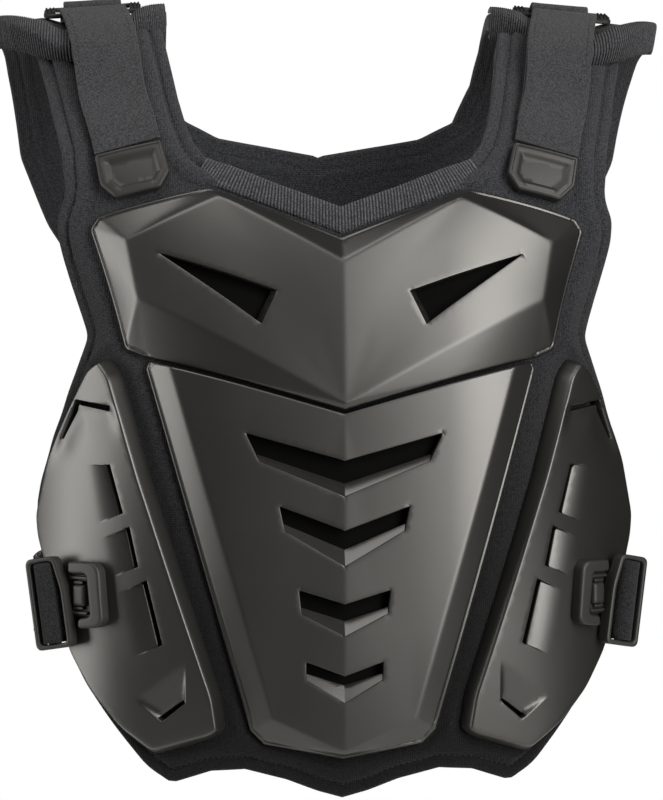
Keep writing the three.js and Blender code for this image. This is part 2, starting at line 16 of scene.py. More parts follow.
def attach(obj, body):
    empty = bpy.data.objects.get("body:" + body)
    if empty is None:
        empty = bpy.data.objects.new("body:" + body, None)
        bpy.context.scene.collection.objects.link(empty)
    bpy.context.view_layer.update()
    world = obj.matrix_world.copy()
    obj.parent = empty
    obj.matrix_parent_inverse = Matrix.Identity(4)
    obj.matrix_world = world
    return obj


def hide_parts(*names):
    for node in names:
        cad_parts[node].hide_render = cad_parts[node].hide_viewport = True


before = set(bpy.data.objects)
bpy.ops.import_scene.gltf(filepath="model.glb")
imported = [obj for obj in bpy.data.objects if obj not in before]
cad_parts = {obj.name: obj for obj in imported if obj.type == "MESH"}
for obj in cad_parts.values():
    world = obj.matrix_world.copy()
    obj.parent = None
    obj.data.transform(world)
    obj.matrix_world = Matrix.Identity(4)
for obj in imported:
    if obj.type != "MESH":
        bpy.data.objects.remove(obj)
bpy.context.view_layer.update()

bl_info = {
    "name": "Body armor vest",
    "version": (1, 0, 0),
    "blender": (4, 5, 0),
    "location": "3D View > Sidebar > Vest",
    "description": "Padded panels, moulded plates, knit bands, webbing and buckles of a vest",
    "category": "Object",
}

MM = 0.001
FAR, TINY = 1e9, 1e-9
SIDES = (("left", 1), ("right", -1))

# Chains of arcs as (length, turn in degrees): the profile runs up the middle of a sheet and the
# section bends it sideways. Above the flattened rows only a share of the sideways bend is left.
FRONT_ARCS = {
    "out": -1,
    "start": (-116, -462),
    "lean": -8,
    "profile": [(100, 7), (110, 3), (80, 10), (70, 10), (70, 18), (75, 30)],
    "section": [(60, 5), (50, 15), (60, 28), (50, 14)],
    "flatten": (280, 400, 0.35),
}
BACK_ARCS = {
    "out": 1,
    "start": (122, -421),
    "lean": 4,
    "profile": [(160, -4), (140, -8), (70, -14), (70, -38), (40, -30), (62, -50)],
    "section": [(70, 6), (50, 18), (60, 30), (60, 24)],
    "flatten": (200, 340, 0.12),
}

# Panel outlines as (v, u) rows, and the front hem as (u, v)
FRONT_NECKLINE = [
    (346, 0), (360, 35), (376, 70), (381, 79), (392, 86), (408, 91), (428, 95), (468, 101), (485, 103),
]
FRONT_EDGE = [
    (0, 100), (4, 110), (10, 117), (30, 135), (60, 160), (80, 174), (105, 187), (138, 200), (152, 205),
    (168, 208), (182, 204), (229, 180), (274, 158), (291, 164), (308, 169), (324, 172), (339, 173.5),
    (352, 172), (360, 167), (368, 165), (392, 166), (428, 173), (485, 180),
]
FRONT_HEM = [(0, -3), (14, 1), (33, 8), (57, 14), (77, 12.5), (98, 5)]
FRONT_HEM_HEIGHT = 60
BACK_NECKLINE = [(352, 0), (364, 66), (376, 88), (405, 98), (435, 101), (542, 101)]
BACK_EDGE = [
    (0, 108), (10, 126), (28, 147), (52, 167), (82, 184), (115, 193), (145, 195), (175, 186), (230, 160),
    (255, 156), (280, 164), (305, 179), (352, 196), (420, 203), (480, 207), (542, 207),
]
FLAP = {"middle": 154, "half": 53, "recede": 48, "plain": (400, 440), "start": 440, "end": 542}

# Moulded plates: corners as (u, v, h) and the facets between them
CHEST_CORNERS = {
    "top_middle": (0, 326, 3),
    "ridge_top": (0, 308, 15),
    "ridge_low": (0, 226, 15),
    "apex_rim": (77, 358, 3),
    "apex": (70, 349, 11),
    "shoulder_rim": (143, 346, 3),
    "outer_rim": (149, 339, 3),
    "face_outer": (123, 326, 12),
    "face_low": (116, 290, 13),
    "lower_rim": (128, 262, 3),
    "corner_rim": (117, 257, 3),
    "lower_middle": (58, 240, 9),
    "lower_ridge": (0, 223, 13),
}
CHEST_FACETS = [
    ("apex", "ridge_top", "ridge_low", "face_low", "face_outer"),
    ("top_middle", "ridge_top", "apex", "apex_rim"),
    ("apex_rim", "apex", "face_outer", "shoulder_rim"),
    ("shoulder_rim", "face_outer", "outer_rim"),
    ("outer_rim", "face_outer", "face_low", "lower_rim"),
    ("lower_rim", "face_low", "corner_rim"),
    ("face_low", "ridge_low", "lower_middle", "corner_rim"),
    ("ridge_low", "lower_ridge", "lower_middle"),
]
CHEST_OUTLINE = [
    "lower_ridge", "lower_middle", "corner_rim", "lower_rim", "outer_rim", "shoulder_rim", "apex_rim",
    "top_middle",
]
CHEST_BEAD = ["corner_rim", "lower_rim", "outer_rim", "shoulder_rim", "apex_rim", "top_middle"]
ABDOMEN_CORNERS = {
    "ridge_top": (0, 221, 12),
    "ridge_low": (0, 27, 12),
    "low_rim": (0, 21, 3),
    "face_top": (98, 249, 11),
    "face_low": (41, 46, 10),
    "top_rim": (113, 254, 3),
    "top_outer": (115, 249, 3),
    "low_outer": (54, 38, 3),
    "low_corner": (46, 30, 3),
}
ABDOMEN_FACETS = [
    ("ridge_top", "ridge_low", "face_low", "face_top"),
    ("face_top", "face_low", "low_outer", "top_outer"),
    ("face_top", "top_outer", "top_rim"),
    ("ridge_low", "low_rim", "low_corner", "face_low"),
    ("face_low", "low_corner", "low_outer"),
]
ABDOMEN_OUTLINE = ["low_rim", "low_corner", "low_outer", "top_outer", "top_rim", "face_top", "ridge_top"]
ABDOMEN_BEAD = ["low_rim", "low_corner", "low_outer", "top_outer", "top_rim"]
SIDE_OUTLINE = [
    (140, 259), (131, 247), (113, 186), (90, 116), (71, 59), (68, 38), (74, 33), (110, 21), (132, 36),
    (151, 55), (167, 78), (197, 148), (199, 162), (187, 197), (166, 232), (152, 253),
]
SIDE_CORNER = 5.0
SIDE_BEVEL = {"width": 4.3, "rim": 1.2, "top": 8.0, "blend": 0.22}
SIDE_LEAN = {"line": ((131, 247), (71, 59)), "reach": 50.0, "rise": 4.0}

# Vents: the opening's corners, and the sloping floor in it as (u, v, depth under the face)
CHEST_VENT = {
    "opening": [(38, 291), (47, 272), (104, 316)],
    "lip": [(38.3, 290.6, 0.5), (47.1, 272.6, 0.5), (50.2, 274.6, 5.0), (41.4, 292.0, 5.0)],
}
# Dark sheets behind the chest and abdomen vents, painted shade for their insides: their depth and how far
# they reach past the opening
LINER_DEPTH = 7.4
LINER_MARGIN = 2.2
ABDOMEN_VENTS = [
    {"tip": (56, 210), "end": (50, 198), "lip_end": (48.5, 194), "ridge": (194, 181, 174)},
    {"tip": (37, 168), "end": (35, 158), "lip_end": (34, 154), "ridge": (154, 143, 134)},
    {"tip": (26, 120), "end": (25, 110), "lip_end": (24.5, 106.5), "ridge": (112, 102, 94)},
    {"tip": (22, 79), "end": (22, 72), "lip_end": (21.5, 68.5), "ridge": (71, 65, 56)},
]
LIP_TOP, LIP_DEPTH = 0.4, 5.5
SIDE_SCOOPS = [
    [(134, 192), (150, 192.5), (143, 157), (126, 164)],
    [(122, 156), (140, 149), (134, 125.5), (117, 133)],
    [(112, 125), (130, 117.5), (120, 79.5), (103, 88)],
]
SCOOP = {"depth": 3.6, "curve": 2.0, "wall": 0.7, "slit": 3.2}
LOWER_DISH = {
    "outline": [(104, 42.5), (120.5, 55), (89, 79), (89.5, 55)],
    "depth": 3.2, "wall": 2.4, "slit": 3.0, "ends": (0.04, 0.97), "taper": 0.6,
}
HOLLOW = {"depth": 1.8, "reach": 11.0, "top": (224.0, 230.0), "rim": (4.0, 11.0)}
UPPER_CHEVRON = [(134, 227), (134.8, 224), (155.6, 229), (169.9, 208), (171, 208.8), (158.3, 232.4)]

# Knit bands
NECK_BAND_TOP = [(0, 345.5), (35, 359.5), (70, 375.5), (78, 380)]
NECK_BAND_LOW = [(0, 328.5), (36, 343.5), (79, 361.5), (86, 366)]
NECK_SINK = {"depth": 2.4, "ends": (0.40, 0.5)}
FLAP_BAND = {"inner": 102, "outer": 206, "width": 17, "setback": 0.5, "columns": 440}


# Curved sheets


def smoothstep(value, low, high):
    """Smooth share from 0 at low to 1 at high."""
    share = np.clip((np.asarray(value, float) - low) / (high - low), 0.0, 1.0)
    return share * share * (3.0 - 2.0 * share)


def walk(start, heading, arcs, distance, bend=1.0):
    """Point and heading after a distance along a chain of arcs."""
    a = np.full(distance.shape, float(start[0]))
    b = np.full(distance.shape, float(start[1]))
    angle = np.full(distance.shape, float(heading))
    left = np.array(distance, float)
    for index, (length, turn) in enumerate(arcs):
        step = left if index == len(arcs) - 1 else np.minimum(left, length)
        curve = math.radians(turn) * bend / length
        after = angle + curve * step
        a = a + (np.cos(angle) - np.cos(after)) / curve
        b = b + (np.sin(after) - np.sin(angle)) / curve
        angle = after
        left = left - step
    return a, b, angle


class Sheet:
    """A panel's curved outer face."""

    def __init__(self, arcs):
        self.arcs = arcs

    def place(self, u, v, h=0.0):
        """Points in metres for sheet coordinates in millimetres."""
        u, v, h = np.broadcast_arrays(np.asarray(u, float), np.asarray(v, float), np.asarray(h, float))
        out = self.arcs["out"]
        y, z, rise = walk(self.arcs["start"], math.radians(self.arcs["lean"]), self.arcs["profile"], v)
        low, high, bent = self.arcs["flatten"]
        bend = 1.0 - (1.0 - bent) * smoothstep(v, low, high)
        depth, side, slant = walk((0, 0), 0.0, self.arcs["section"], np.abs(u), bend)
        inward = depth - h * np.cos(slant)
        x = np.where(u < 0, -1.0, 1.0) * (side + h * np.sin(slant))
        return np.stack([x, y - out * np.cos(rise) * inward, z + out * np.sin(rise) * inward], -1) * MM

    def axes(self, u, v):
        """Unit vectors sideways, along the sheet and out of it, right-handed."""
        sideways = unit(self.place(u + 0.5, v) - self.place(u - 0.5, v))
        out = unit(self.place(u, v, 1.0) - self.place(u, v))
        return sideways, np.cross(out, sideways), out


def unit(vectors):
    """Vectors of the same directions and length one."""
    return vectors / np.maximum(np.linalg.norm(vectors, axis=-1, keepdims=True), TINY)


FRONT = Sheet(FRONT_ARCS)
BACK = Sheet(BACK_ARCS)


# Flat outlines

# Most of an edge that a rounded corner takes, the sharpest corner that an inset follows, and how much
# of its offset a row of points keeps beside a corner
CORNER_SHARE = 0.45
SHARPEST_INSET = 0.4
KEPT_OFFSET = 0.9
MERGE_POINTS = 0.02


def closed_edges(loop):
    """Starts and ends of a closed outline's edges."""
    points = np.array(loop, float)[:, :2]
    return points, np.roll(points, -1, axis=0)


def chain_edges(chain):
    """Starts and ends of an open chain's edges."""
    points = np.array(chain, float)[:, :2]
    return points[:-1], points[1:]


def edge_distance(points, starts, ends):
    """Distance of each point to the nearest of some edges."""
    best = np.full(len(points), FAR)
    for start, end in zip(starts, ends):
        along = end - start
        share = np.clip(((points - start) @ along) / max(along @ along, TINY), 0.0, 1.0)
        best = np.minimum(best, np.linalg.norm(points - start - share[:, None] * along, axis=1))
    return best


def rim_distance(points, loop):
    """Distance of each point to a closed outline."""
    return edge_distance(points, *closed_edges(loop))


def inside(points, loop):
    """Whether each point is inside a closed outline."""
    starts, ends = closed_edges(loop)
    within = np.zeros(len(points), bool)
    x, y = points[:, 0], points[:, 1]
    for (x0, y0), (x1, y1) in zip(starts, ends):
        crosses = (y0 > y) != (y1 > y)
        if y0 != y1:
            within ^= crosses & (x < (x1 - x0) * (y - y0) / (y1 - y0) + x0)
    return within


def divide(loop, spacing):
    """Closed outline with points no further apart than the spacing."""
    starts, ends = closed_edges(loop)
    parts = []
    for start, end in zip(starts, ends):
        steps = max(1, math.ceil(np.linalg.norm(end - start) / spacing))
        parts.append(start + (end - start) * np.arange(steps)[:, None] / steps)
    return np.concatenate(parts)


def round_corners(loop, radius, steps=4):
    """Closed outline with each corner replaced by an arc of the same number of points."""
    points = np.array(loop, float)
    rounded = []
    for before, corner, after in zip(np.roll(points, 1, 0), points, np.roll(points, -1, 0)):
        to_before, to_after = before - corner, after - corner
        reach = min(radius, *(CORNER_SHARE * np.linalg.norm(side) for side in (to_before, to_after)))
        first, last = corner + unit(to_before) * reach, corner + unit(to_after) * reach
        for share in np.linspace(0.0, 1.0, steps + 1):
            rounded.append(
                (1 - share) ** 2 * first + 2 * share * (1 - share) * corner + share**2 * last
            )
    return np.array(rounded)


def left_of(directions):
    """Directions turned a quarter to the left."""
    return np.stack([-directions[..., 1], directions[..., 0]], -1)


def inset(loop, width):
    """Anticlockwise outline moved inwards by a width, corner by corner."""
    points = np.array(loop, float)
    normal_in = left_of(unit(points - np.roll(points, 1, 0)))
    normal_out = left_of(unit(np.roll(points, -1, 0) - points))
    normal = unit(normal_in + normal_out)
    reach = width / np.maximum(SHARPEST_INSET, np.sum(normal * normal_in, axis=1))
    return points + normal * reach[:, None]


def anticlockwise(loop):
    """Closed outline that runs anticlockwise."""
    points = np.array(loop, float)
    u, v = points[:, 0], points[:, 1]
    turn = np.sum(u * np.roll(v, -1) - v * np.roll(u, -1))
    return points if turn > 0 else points[::-1]


def mirrored(loop):
    """Outline on the other side, still anticlockwise."""
    points = np.array(loop, float)
    points[:, 0] *= -1
    return points[::-1]


def whole(half):
    """Closed outline from its half with u above zero, which starts and ends on the middle."""
    points = np.array(half, float)[:, :2]
    return np.concatenate([points, mirrored(points)[1:-1]])


def offset_rows(loop, offsets, way=1):
    """Rows of points beside a closed outline, without those that come too near it at a corner."""
    normal = way * left_of(unit(np.roll(loop, -1, 0) - np.roll(loop, 1, 0)))
    rows = [(loop + normal * offset, offset) for offset in offsets]
    return [row[rim_distance(row, loop) > KEPT_OFFSET * offset] for row, offset in rows]


def grid_over(loop, across, up, stagger=0.0):
    """Rows of points over an outline's box, every other row moved sideways."""
    low, high = loop.min(0), loop.max(0)
    return np.array([
        (u + (index % 2) * stagger, v)
        for index, v in enumerate(np.arange(low[1], high[1], up))
        for u in np.arange(low[0], high[0], across)
    ])


def run_along(points):
    """Distance along a chain of points at each of them."""
    return np.concatenate([[0], np.cumsum(np.linalg.norm(np.diff(points, axis=0), axis=1))])


def columns_at(at, run, table):
    """Each column of a table at some places along its rows."""
    return np.stack([np.interp(at, run, column) for column in np.transpose(table)], 1)


def triangulate(points, loops):
    """Triangles between points inside the first outline and outside the others."""
    edges = []
    flat = [Vector(point) for loop in loops for point in loop] + [Vector(point) for point in points]
    first = 0
    for loop in loops:
        edges += [(first + i, first + (i + 1) % len(loop)) for i in range(len(loop))]
        first += len(loop)
    corners, _, faces, *_ = delaunay_2d_cdt(flat, edges, [], 0, MERGE_POINTS)
    corners = np.array([tuple(corner) for corner in corners])
    faces = np.array(faces)
    middles = corners[faces].mean(axis=1)
    keep = inside(middles, loops[0])
    for loop in loops[1:]:
        keep &= ~inside(middles, loop)
    return corners, faces[keep]


# Meshes


def new_piece(name, points, faces, material, uv=None, sharp=None):
    """Object at the origin with its place in its mesh."""
    mesh = bpy.data.meshes.new(name)
    mesh.from_pydata(np.asarray(points).tolist(), [], [list(map(int, face)) for face in faces])
    mesh.update()
    if uv is not None:
        corners = np.zeros(len(mesh.loops), np.int32)
        mesh.loops.foreach_get("vertex_index", corners)
        layer = mesh.uv_layers.new(name="cloth")
        layer.data.foreach_set("uv", np.asarray(uv, np.float32)[corners].ravel())
    mesh.shade_smooth()
    if sharp is not None:
        mesh.set_sharp_from_angle(angle=math.radians(sharp))
    mesh.materials.append(material)
    piece = bpy.data.objects.new(name, mesh)
    bpy.context.scene.collection.objects.link(piece)
    return piece


def finish_piece(piece, slot, *nodes):
    """Puts a piece on the part's one body, in place of its plain solids."""
    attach(piece, "root")
    if nodes:
        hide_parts(*nodes)
    return piece


class Shape:
    """Points, faces and cloth coordinates that are gathered into one mesh."""

    def __init__(self):
        self.points, self.faces, self.uv, self.count = [], [], [], 0

    def add(self, points, faces, uv=None):
        points = np.asarray(points, float).reshape(-1, 3)
        self.points.append(points)
        self.faces += [[int(index) + self.count for index in face] for face in faces]
        self.uv.append(np.zeros((len(points), 2)) if uv is None else np.asarray(uv, float).reshape(-1, 2))
        self.count += len(points)

    def add_shell(self, flat, faces, top, under, uv=None):
        """Adds a closed shell on the front sheet, between two heights over flat triangles."""
        outer, inner = (FRONT.place(flat[:, 0], flat[:, 1], height) for height in (top, under))
        self.add(np.concatenate([outer, inner]), shell_faces(flat, faces), uv)

    def piece(self, name, material, sharp=None, merge=None):
        made = new_piece(
            name, np.concatenate(self.points), self.faces, material, np.concatenate(self.uv), sharp
        )
        if merge is not None:
            work = bmesh.new()
            work.from_mesh(made.data)
            bmesh.ops.remove_doubles(work, verts=work.verts, dist=merge)
            work.to_mesh(made.data)
            work.free()
        return made


def grid_faces(rows, columns, flip=False, wrap=False):
    """Quads of a grid of points numbered row by row."""
    index = np.arange(rows * columns).reshape(rows, columns)
    right = np.roll(index, -1, axis=1) if wrap else index[:, 1:]
    left = index if wrap else index[:, :-1]
    quads = np.stack([left[:-1], right[:-1], right[1:], left[1:]], -1).reshape(-1, 4)
    return quads[:, ::-1] if flip else quads


def shell_faces(corners, faces):
    """Faces of a closed shell: the outer triangles, the same ones inside, and the walls between."""
    count = len(corners)
    pairs = dict.fromkeys(pair for a, b, c in faces for pair in ((a, b), (b, c), (c, a)))
    rim = [(a, b) for a, b in pairs if (b, a) not in pairs]
    walls = [(b, a, a + count, b + count) for a, b in rim]
    return [*faces.tolist(), *(faces[:, ::-1] + count).tolist(), *walls]


# Heights of the moulded plates


def facet_triangles(corners, facets):
    """Triangles of the facets on both sides of the middle."""
    triangles = []
    for facet in facets:
        points = np.array([corners[name] for name in facet], float)
        for second, third in zip(points[1:], points[2:]):
            triangles.append((points[0], second, third))
    half = np.array(triangles)
    other = half * np.array([-1.0, 1.0, 1.0])
    return np.concatenate([half, other])


def facet_height(points, triangles):
    """Height of the facet under each point, carried on past the outline."""
    best = np.full(len(points), -FAR)
    height = np.zeros(len(points))
    for (u0, v0, h0), (u1, v1, h1), (u2, v2, h2) in triangles:
        area = (v1 - v2) * (u0 - u2) + (u2 - u1) * (v0 - v2)
        first = ((v1 - v2) * (points[:, 0] - u2) + (u2 - u1) * (points[:, 1] - v2)) / area
        second = ((v2 - v0) * (points[:, 0] - u2) + (u0 - u2) * (points[:, 1] - v2)) / area
        third = 1.0 - first - second
        sides = (math.hypot(u2 - u1, v2 - v1), math.hypot(u2 - u0, v2 - v0), math.hypot(u1 - u0, v1 - v0))
        depths = [share * abs(area) / side for share, side in zip((first, second, third), sides)]
        lowest = np.minimum(np.minimum(depths[0], depths[1]), depths[2])
        nearer = lowest > best
        best = np.where(nearer, lowest, best)
        height = np.where(nearer, first * h0 + second * h1 + third * h2, height)
    return height


# Reach of the blur over the facets: by the distance to a crease and to the rim, and its rings of samples
EASING = {"crease": 0.8, "most": 14.0, "rim": (0.2, 0.9), "rings": ((0.5, 8), (1.0, 12))}


def eased_height(points, triangles, crease_gap, rim_gap, radius):
    """Facet heights with rounded creases, and softer where no crease or rim is near."""
    base, slope = EASING["rim"]
    reach = np.clip(EASING["crease"] * crease_gap, radius, EASING["most"])
    reach = np.minimum(reach, base + slope * rim_gap)
    total = facet_height(points, triangles)
    count = 1
    for share, spokes in EASING["rings"]:
        for angle in np.arange(spokes) * 2 * math.pi / spokes:
            offset = share * reach[:, None] * np.array([math.cos(angle), math.sin(angle)])
            total = total + facet_height(points + offset, triangles)
            count += 1
    return total / count


def crease_lines(corners, facets, outline):
    """Edges between facets on both sides, without those of the outline."""
    rim = {frozenset(pair) for pair in zip(outline, outline[1:])}
    lines = set()
    for facet in facets:
        for pair in zip(facet, facet[1:] + facet[:1]):
            if frozenset(pair) not in rim:
                lines.add(tuple(sorted(pair)))
    half = [(np.array(corners[a][:2], float), np.array(corners[b][:2], float)) for a, b in sorted(lines)]
    flip = np.array([-1.0, 1.0])
    return half + [(a * flip, b * flip) for a, b in half if a[0] or b[0]]


def quarter_round(distance, radius):
    """Drop of a rounded edge at a distance from it."""
    gap = np.clip(radius - distance, 0.0, radius)
    return radius - np.sqrt(radius**2 - gap**2)


class Plate:
    """A moulded plate on the front sheet: its outline, face and vents."""

    # Thicknesses, edge radii and depths, then the offsets, spacings and clear widths of the mesh
    WALL = 2.7
    SEAT = 1.3
    CREASE = 1.5
    EDGE = 1.2
    VENT_EDGE = 0.6
    VENT_WALL = 5.5
    THINNEST = 0.05
    FLOOR_THICKNESS = 1.2
    BEAD = {"place": 2.5, "width": 0.6, "depth": 0.6}
    EDGE_ROWS = (0.25, 0.6, 1.1, 1.6, 2.1, 2.5, 2.9, 3.4, 3.8, 4.3, 4.8, 5.4)
    VENT_ROWS = (0.25, 0.7)
    CREASE_ROWS = (0.0, -0.7, 0.7, -1.5, 1.5, -2.6, 2.6)
    STEP_ROWS = (0.0, -0.35, 0.35, -0.7, 0.7, -1.4, 1.4)
    GRAIN = 2.6
    FLOOR_GRAIN = 3.0
    SPACING = {"edge": 2.2, "vent": 1.8, "floor": 2.5}
    CLEAR = {"edge": 6.4, "vent": 1.8, "crease": 4.0, "step": 2.2, "floor": 1.0, "least": 0.2}

    def __init__(self, outline, creases, face, vents, bead=None, steps=()):
        self.outline = np.array(outline, float)
        self.creases = creases
        self.steps = steps
        self.face = face
        self.bead = bead
        self.vents = [np.array(vent, float) for vent in vents]

    def height(self, points):
        """Height of the face with its beads and rounded edges."""
        level = self.face(points)
        if self.bead:
            gap = edge_distance(points, *self.bead) - self.BEAD["place"]
            level = level - self.BEAD["depth"] * np.exp(-((gap / self.BEAD["width"]) ** 2))
        level = level - quarter_round(rim_distance(points, self.outline), self.EDGE)
        for vent in self.vents:
            level = level - quarter_round(rim_distance(points, vent), self.VENT_EDGE)
        return level

    def seeds(self, loops):
        """Points that follow the edges, vents and creases, and a grid between them."""
        outline, *vents = loops
        rows = offset_rows(outline, self.EDGE_ROWS)
        for vent in vents:
            rows += offset_rows(vent, self.VENT_ROWS, -1)
        marked = [(line, self.CREASE_ROWS, self.GRAIN) for line in self.creases]
        marked += [(line, self.STEP_ROWS, self.GRAIN / 2) for line in self.steps]
        for (start, end), offsets, spacing in marked:
            count = max(2, int(np.linalg.norm(end - start) / spacing))
            across = left_of(unit(end - start))
            line = start + (end - start) * np.linspace(0, 1, count)[:, None]
            rows += [line + across * offset for offset in offsets]
        grid = grid_over(self.outline, self.GRAIN, self.GRAIN * math.sqrt(3) / 2, self.GRAIN / 2)
        clear = rim_distance(grid, self.outline) > self.CLEAR["edge"]
        for vent in self.vents:
            clear &= rim_distance(grid, vent) > self.CLEAR["vent"]
        for lines, kind in ((self.creases, "crease"), (self.steps, "step")):
            if lines:
                clear &= edge_distance(grid, *zip(*lines)) > self.CLEAR[kind]
        points = np.concatenate([*rows, grid[clear]])
        keep = inside(points, self.outline)
        keep &= rim_distance(points, self.outline) > self.CLEAR["least"]
        for vent in self.vents:
            keep &= ~inside(points, vent)
            keep &= rim_distance(points, vent) > self.CLEAR["least"]
        return points[keep]

    def build(self, shape):
        """Adds the closed shell to a shape."""
        loops = [divide(self.outline, self.SPACING["edge"])]
        loops += [divide(vent, self.SPACING["vent"]) for vent in self.vents]
        corners, faces = triangulate(self.seeds(loops), loops)
        level = self.height(corners)
        wall = np.full(len(corners), self.WALL)
        for vent in self.vents:
            wall[rim_distance(corners, vent) < self.VENT_ROWS[0] / 2] = self.VENT_WALL
        under = np.minimum(np.maximum(self.SEAT, self.face(corners) - wall), level - self.THINNEST)
        shape.add_shell(corners, faces, level, under)

    def floor(self, shape, corners):
        """Adds a sloping vent floor, from corners with a depth each."""
        corners = np.array(corners, float)
        slope, *_ = np.linalg.lstsq(
            np.column_stack([corners[:, :2], np.ones(len(corners))]), corners[:, 2], rcond=None
        )
        loop = divide(corners[:, :2], self.SPACING["floor"])
        grid = grid_over(loop, self.FLOOR_GRAIN, self.FLOOR_GRAIN)
        grid = grid[inside(grid, loop) & (rim_distance(grid, loop) > self.CLEAR["floor"])]
        points, faces = triangulate(grid, [loop])
        top = self.face(points) - np.column_stack([points, np.ones(len(points))]) @ slope
        shape.add_shell(points, faces, top, top - self.FLOOR_THICKNESS)


# Plates of this vest


def smooth_min(a, b, blend):
    """Lower of two values with the corner between them rounded."""
    mix = np.clip(0.5 + 0.5 * (b - a) / blend, 0.0, 1.0)
    return b * (1 - mix) + a * mix - blend * mix * (1 - mix)


def named(corners, names):
    """Corners of those names, in order."""
    return [corners[name] for name in names]


def facet_plate(corners, facets, outline, bead, vents):
    """Plate whose face is made of facets that meet at rounded creases."""
    triangles = facet_triangles(corners, facets)
    creases = crease_lines(corners, facets, outline)
    starts, ends = zip(*creases)
    loop = whole(named(corners, outline))

    def face(points):
        crease, rim = edge_distance(points, starts, ends), rim_distance(points, loop)
        return eased_height(points, triangles, crease, rim, Plate.CREASE)

    half = np.array(named(corners, bead), float)[:, :2]
    there, back = chain_edges(half), chain_edges(half * np.array([-1.0, 1.0]))
    rim = tuple(np.concatenate(pair) for pair in zip(there, back))
    return Plate(loop, creases, face, vents, rim)


def abdomen_openings():
    """Chevron openings of the abdomen plate, each from its top edge to the foot of its lip."""
    openings = []
    for vent in ABDOMEN_VENTS:
        top, _, foot = vent["ridge"]
        openings.append(whole([(0, foot), vent["lip_end"], vent["tip"], (0, top)]))
    return openings


def abdomen_lips():
    """Sloping lower lips of the chevrons and the dark sheets behind them that paint the shade inside, for the
    two sides.
    """
    lips, shade_sheets = [], []
    for vent in ABDOMEN_VENTS:
        top, brink, foot = vent["ridge"]
        lip = [(0, foot, LIP_TOP), (*vent["lip_end"], LIP_TOP)]
        lip += [(*vent["end"], LIP_DEPTH), (0, brink, LIP_DEPTH)]
        rear = liner([(0, foot), vent["lip_end"], vent["tip"], (0, top)], LINER_DEPTH)
        lips += both_sides(lip)
        shade_sheets += both_sides(rear)
    return lips, shade_sheets


def both_sides(floor):
    """A vent floor and its mirror image."""
    return [floor, [(-u, v, depth) for u, v, depth in floor]]


def one_edge(start, end):
    """One edge in the form that edge_distance takes."""
    return np.array([start], float), np.array([end], float)


def scoop_dip(points, scoop):
    """Depth of a scoop that leaves the face smoothly outside and is deepest at its slit."""
    first, second, third, last = scoop
    low = edge_distance(points, *one_edge(first, last))
    high = edge_distance(points, *one_edge(second, third))
    walls = edge_distance(points, np.array([first, third]), np.array([second, last]))
    share = (high / np.maximum(low + high, TINY)) ** SCOOP["curve"]
    return SCOOP["depth"] * share * smoothstep(walls, 0.0, SCOOP["wall"]) * inside(points, scoop)


def scoop_slit(scoop):
    """Opening along the deep end of a scoop."""
    first, second, third, last = scoop
    near, far = first + unit(second - first) * SCOOP["slit"], last + unit(third - last) * SCOOP["slit"]
    return [first, near, far, last]


def dish_dip(points, dish):
    """Depth of the lower dish: sharp along its two lower arms and its inner edge, smooth above."""
    bottom, outer, top, inner = dish
    arms = edge_distance(points, np.array([bottom, bottom, inner]), np.array([outer, inner, top]))
    fade = edge_distance(points, *one_edge(outer, top))
    low = edge_distance(points, *one_edge(bottom, inner))
    share = fade / np.maximum(fade + low, TINY)
    return LOWER_DISH["depth"] * share * smoothstep(arms, 0.0, LOWER_DISH["wall"]) * inside(points, dish)


def dish_slit(dish):
    """Opening along the inner lower arm of the dish."""
    bottom, outer, _, inner = dish
    start, end = (bottom + (inner - bottom) * share for share in LOWER_DISH["ends"])
    width = unit(outer - bottom) * LOWER_DISH["slit"]
    return [start, start + width, end + width * LOWER_DISH["taper"], end]


def side_lean(points):
    """Extra height that flattens the face of a side plate towards its inner edge."""
    start, end = np.array(SIDE_LEAN["line"], float)
    across = (points - start) @ left_of(unit(end - start))
    return SIDE_LEAN["rise"] * np.clip(1 - across / SIDE_LEAN["reach"], 0.0, 1.0) ** 2


def side_plate(side):
    """Side plate with a bevelled rim, three scooped slits and a chevron at each end."""
    flip = np.array([side, 1.0])
    outline = anticlockwise(round_corners(np.array(SIDE_OUTLINE, float) * flip, SIDE_CORNER, 3))
    scoops = [np.array(scoop, float) * flip for scoop in SIDE_SCOOPS]
    dish = np.array(LOWER_DISH["outline"], float) * flip
    chevron = np.array(UPPER_CHEVRON, float) * flip
    vents = [anticlockwise(loop) for loop in (*map(scoop_slit, scoops), dish_slit(dish), chevron)]
    steps = [(first, second) for first, second, _, _ in scoops]
    steps += [(last, third) for _, _, third, last in scoops]
    steps += [(dish[0], dish[1]), (dish[3], dish[2])]

    def face(points):
        bevel = SIDE_BEVEL
        gap = rim_distance(points, outline)
        slope = smooth_min(gap / bevel["width"], 1.0, bevel["blend"])
        hollow = HOLLOW["depth"] * np.exp(-((rim_distance(points, chevron) / HOLLOW["reach"]) ** 2))
        hollow = hollow * (1 - smoothstep(points[:, 1], *HOLLOW["top"])) * smoothstep(gap, *HOLLOW["rim"])
        dips = sum(scoop_dip(points, scoop) for scoop in scoops) + dish_dip(points, dish)
        top = bevel["top"] + side_lean(points * flip)
        return bevel["rim"] + (top - bevel["rim"]) * slope - hollow - dips

    return Plate(outline, [], face, vents, steps=steps)


def liner(opening, depth):
    """Sheet behind an opening, a little larger than it, which carries the painted shade of the vent's inside.
    """
    grown = inset(anticlockwise(opening), -LINER_MARGIN)
    return [(u, v, depth) for u, v in grown]


# Padded panels

# Bands of rows as (first, last, spacing)
FRONT_ROWS = ((0, 26, 1.4), (26, 338, 3.0), (338, 396, 1.6), (396, 485, 2.8))
BACK_ROWS = ((0, 26, 1.6), (26, 340, 3.4), (340, 384, 1.4), (384, 542, 2.6))

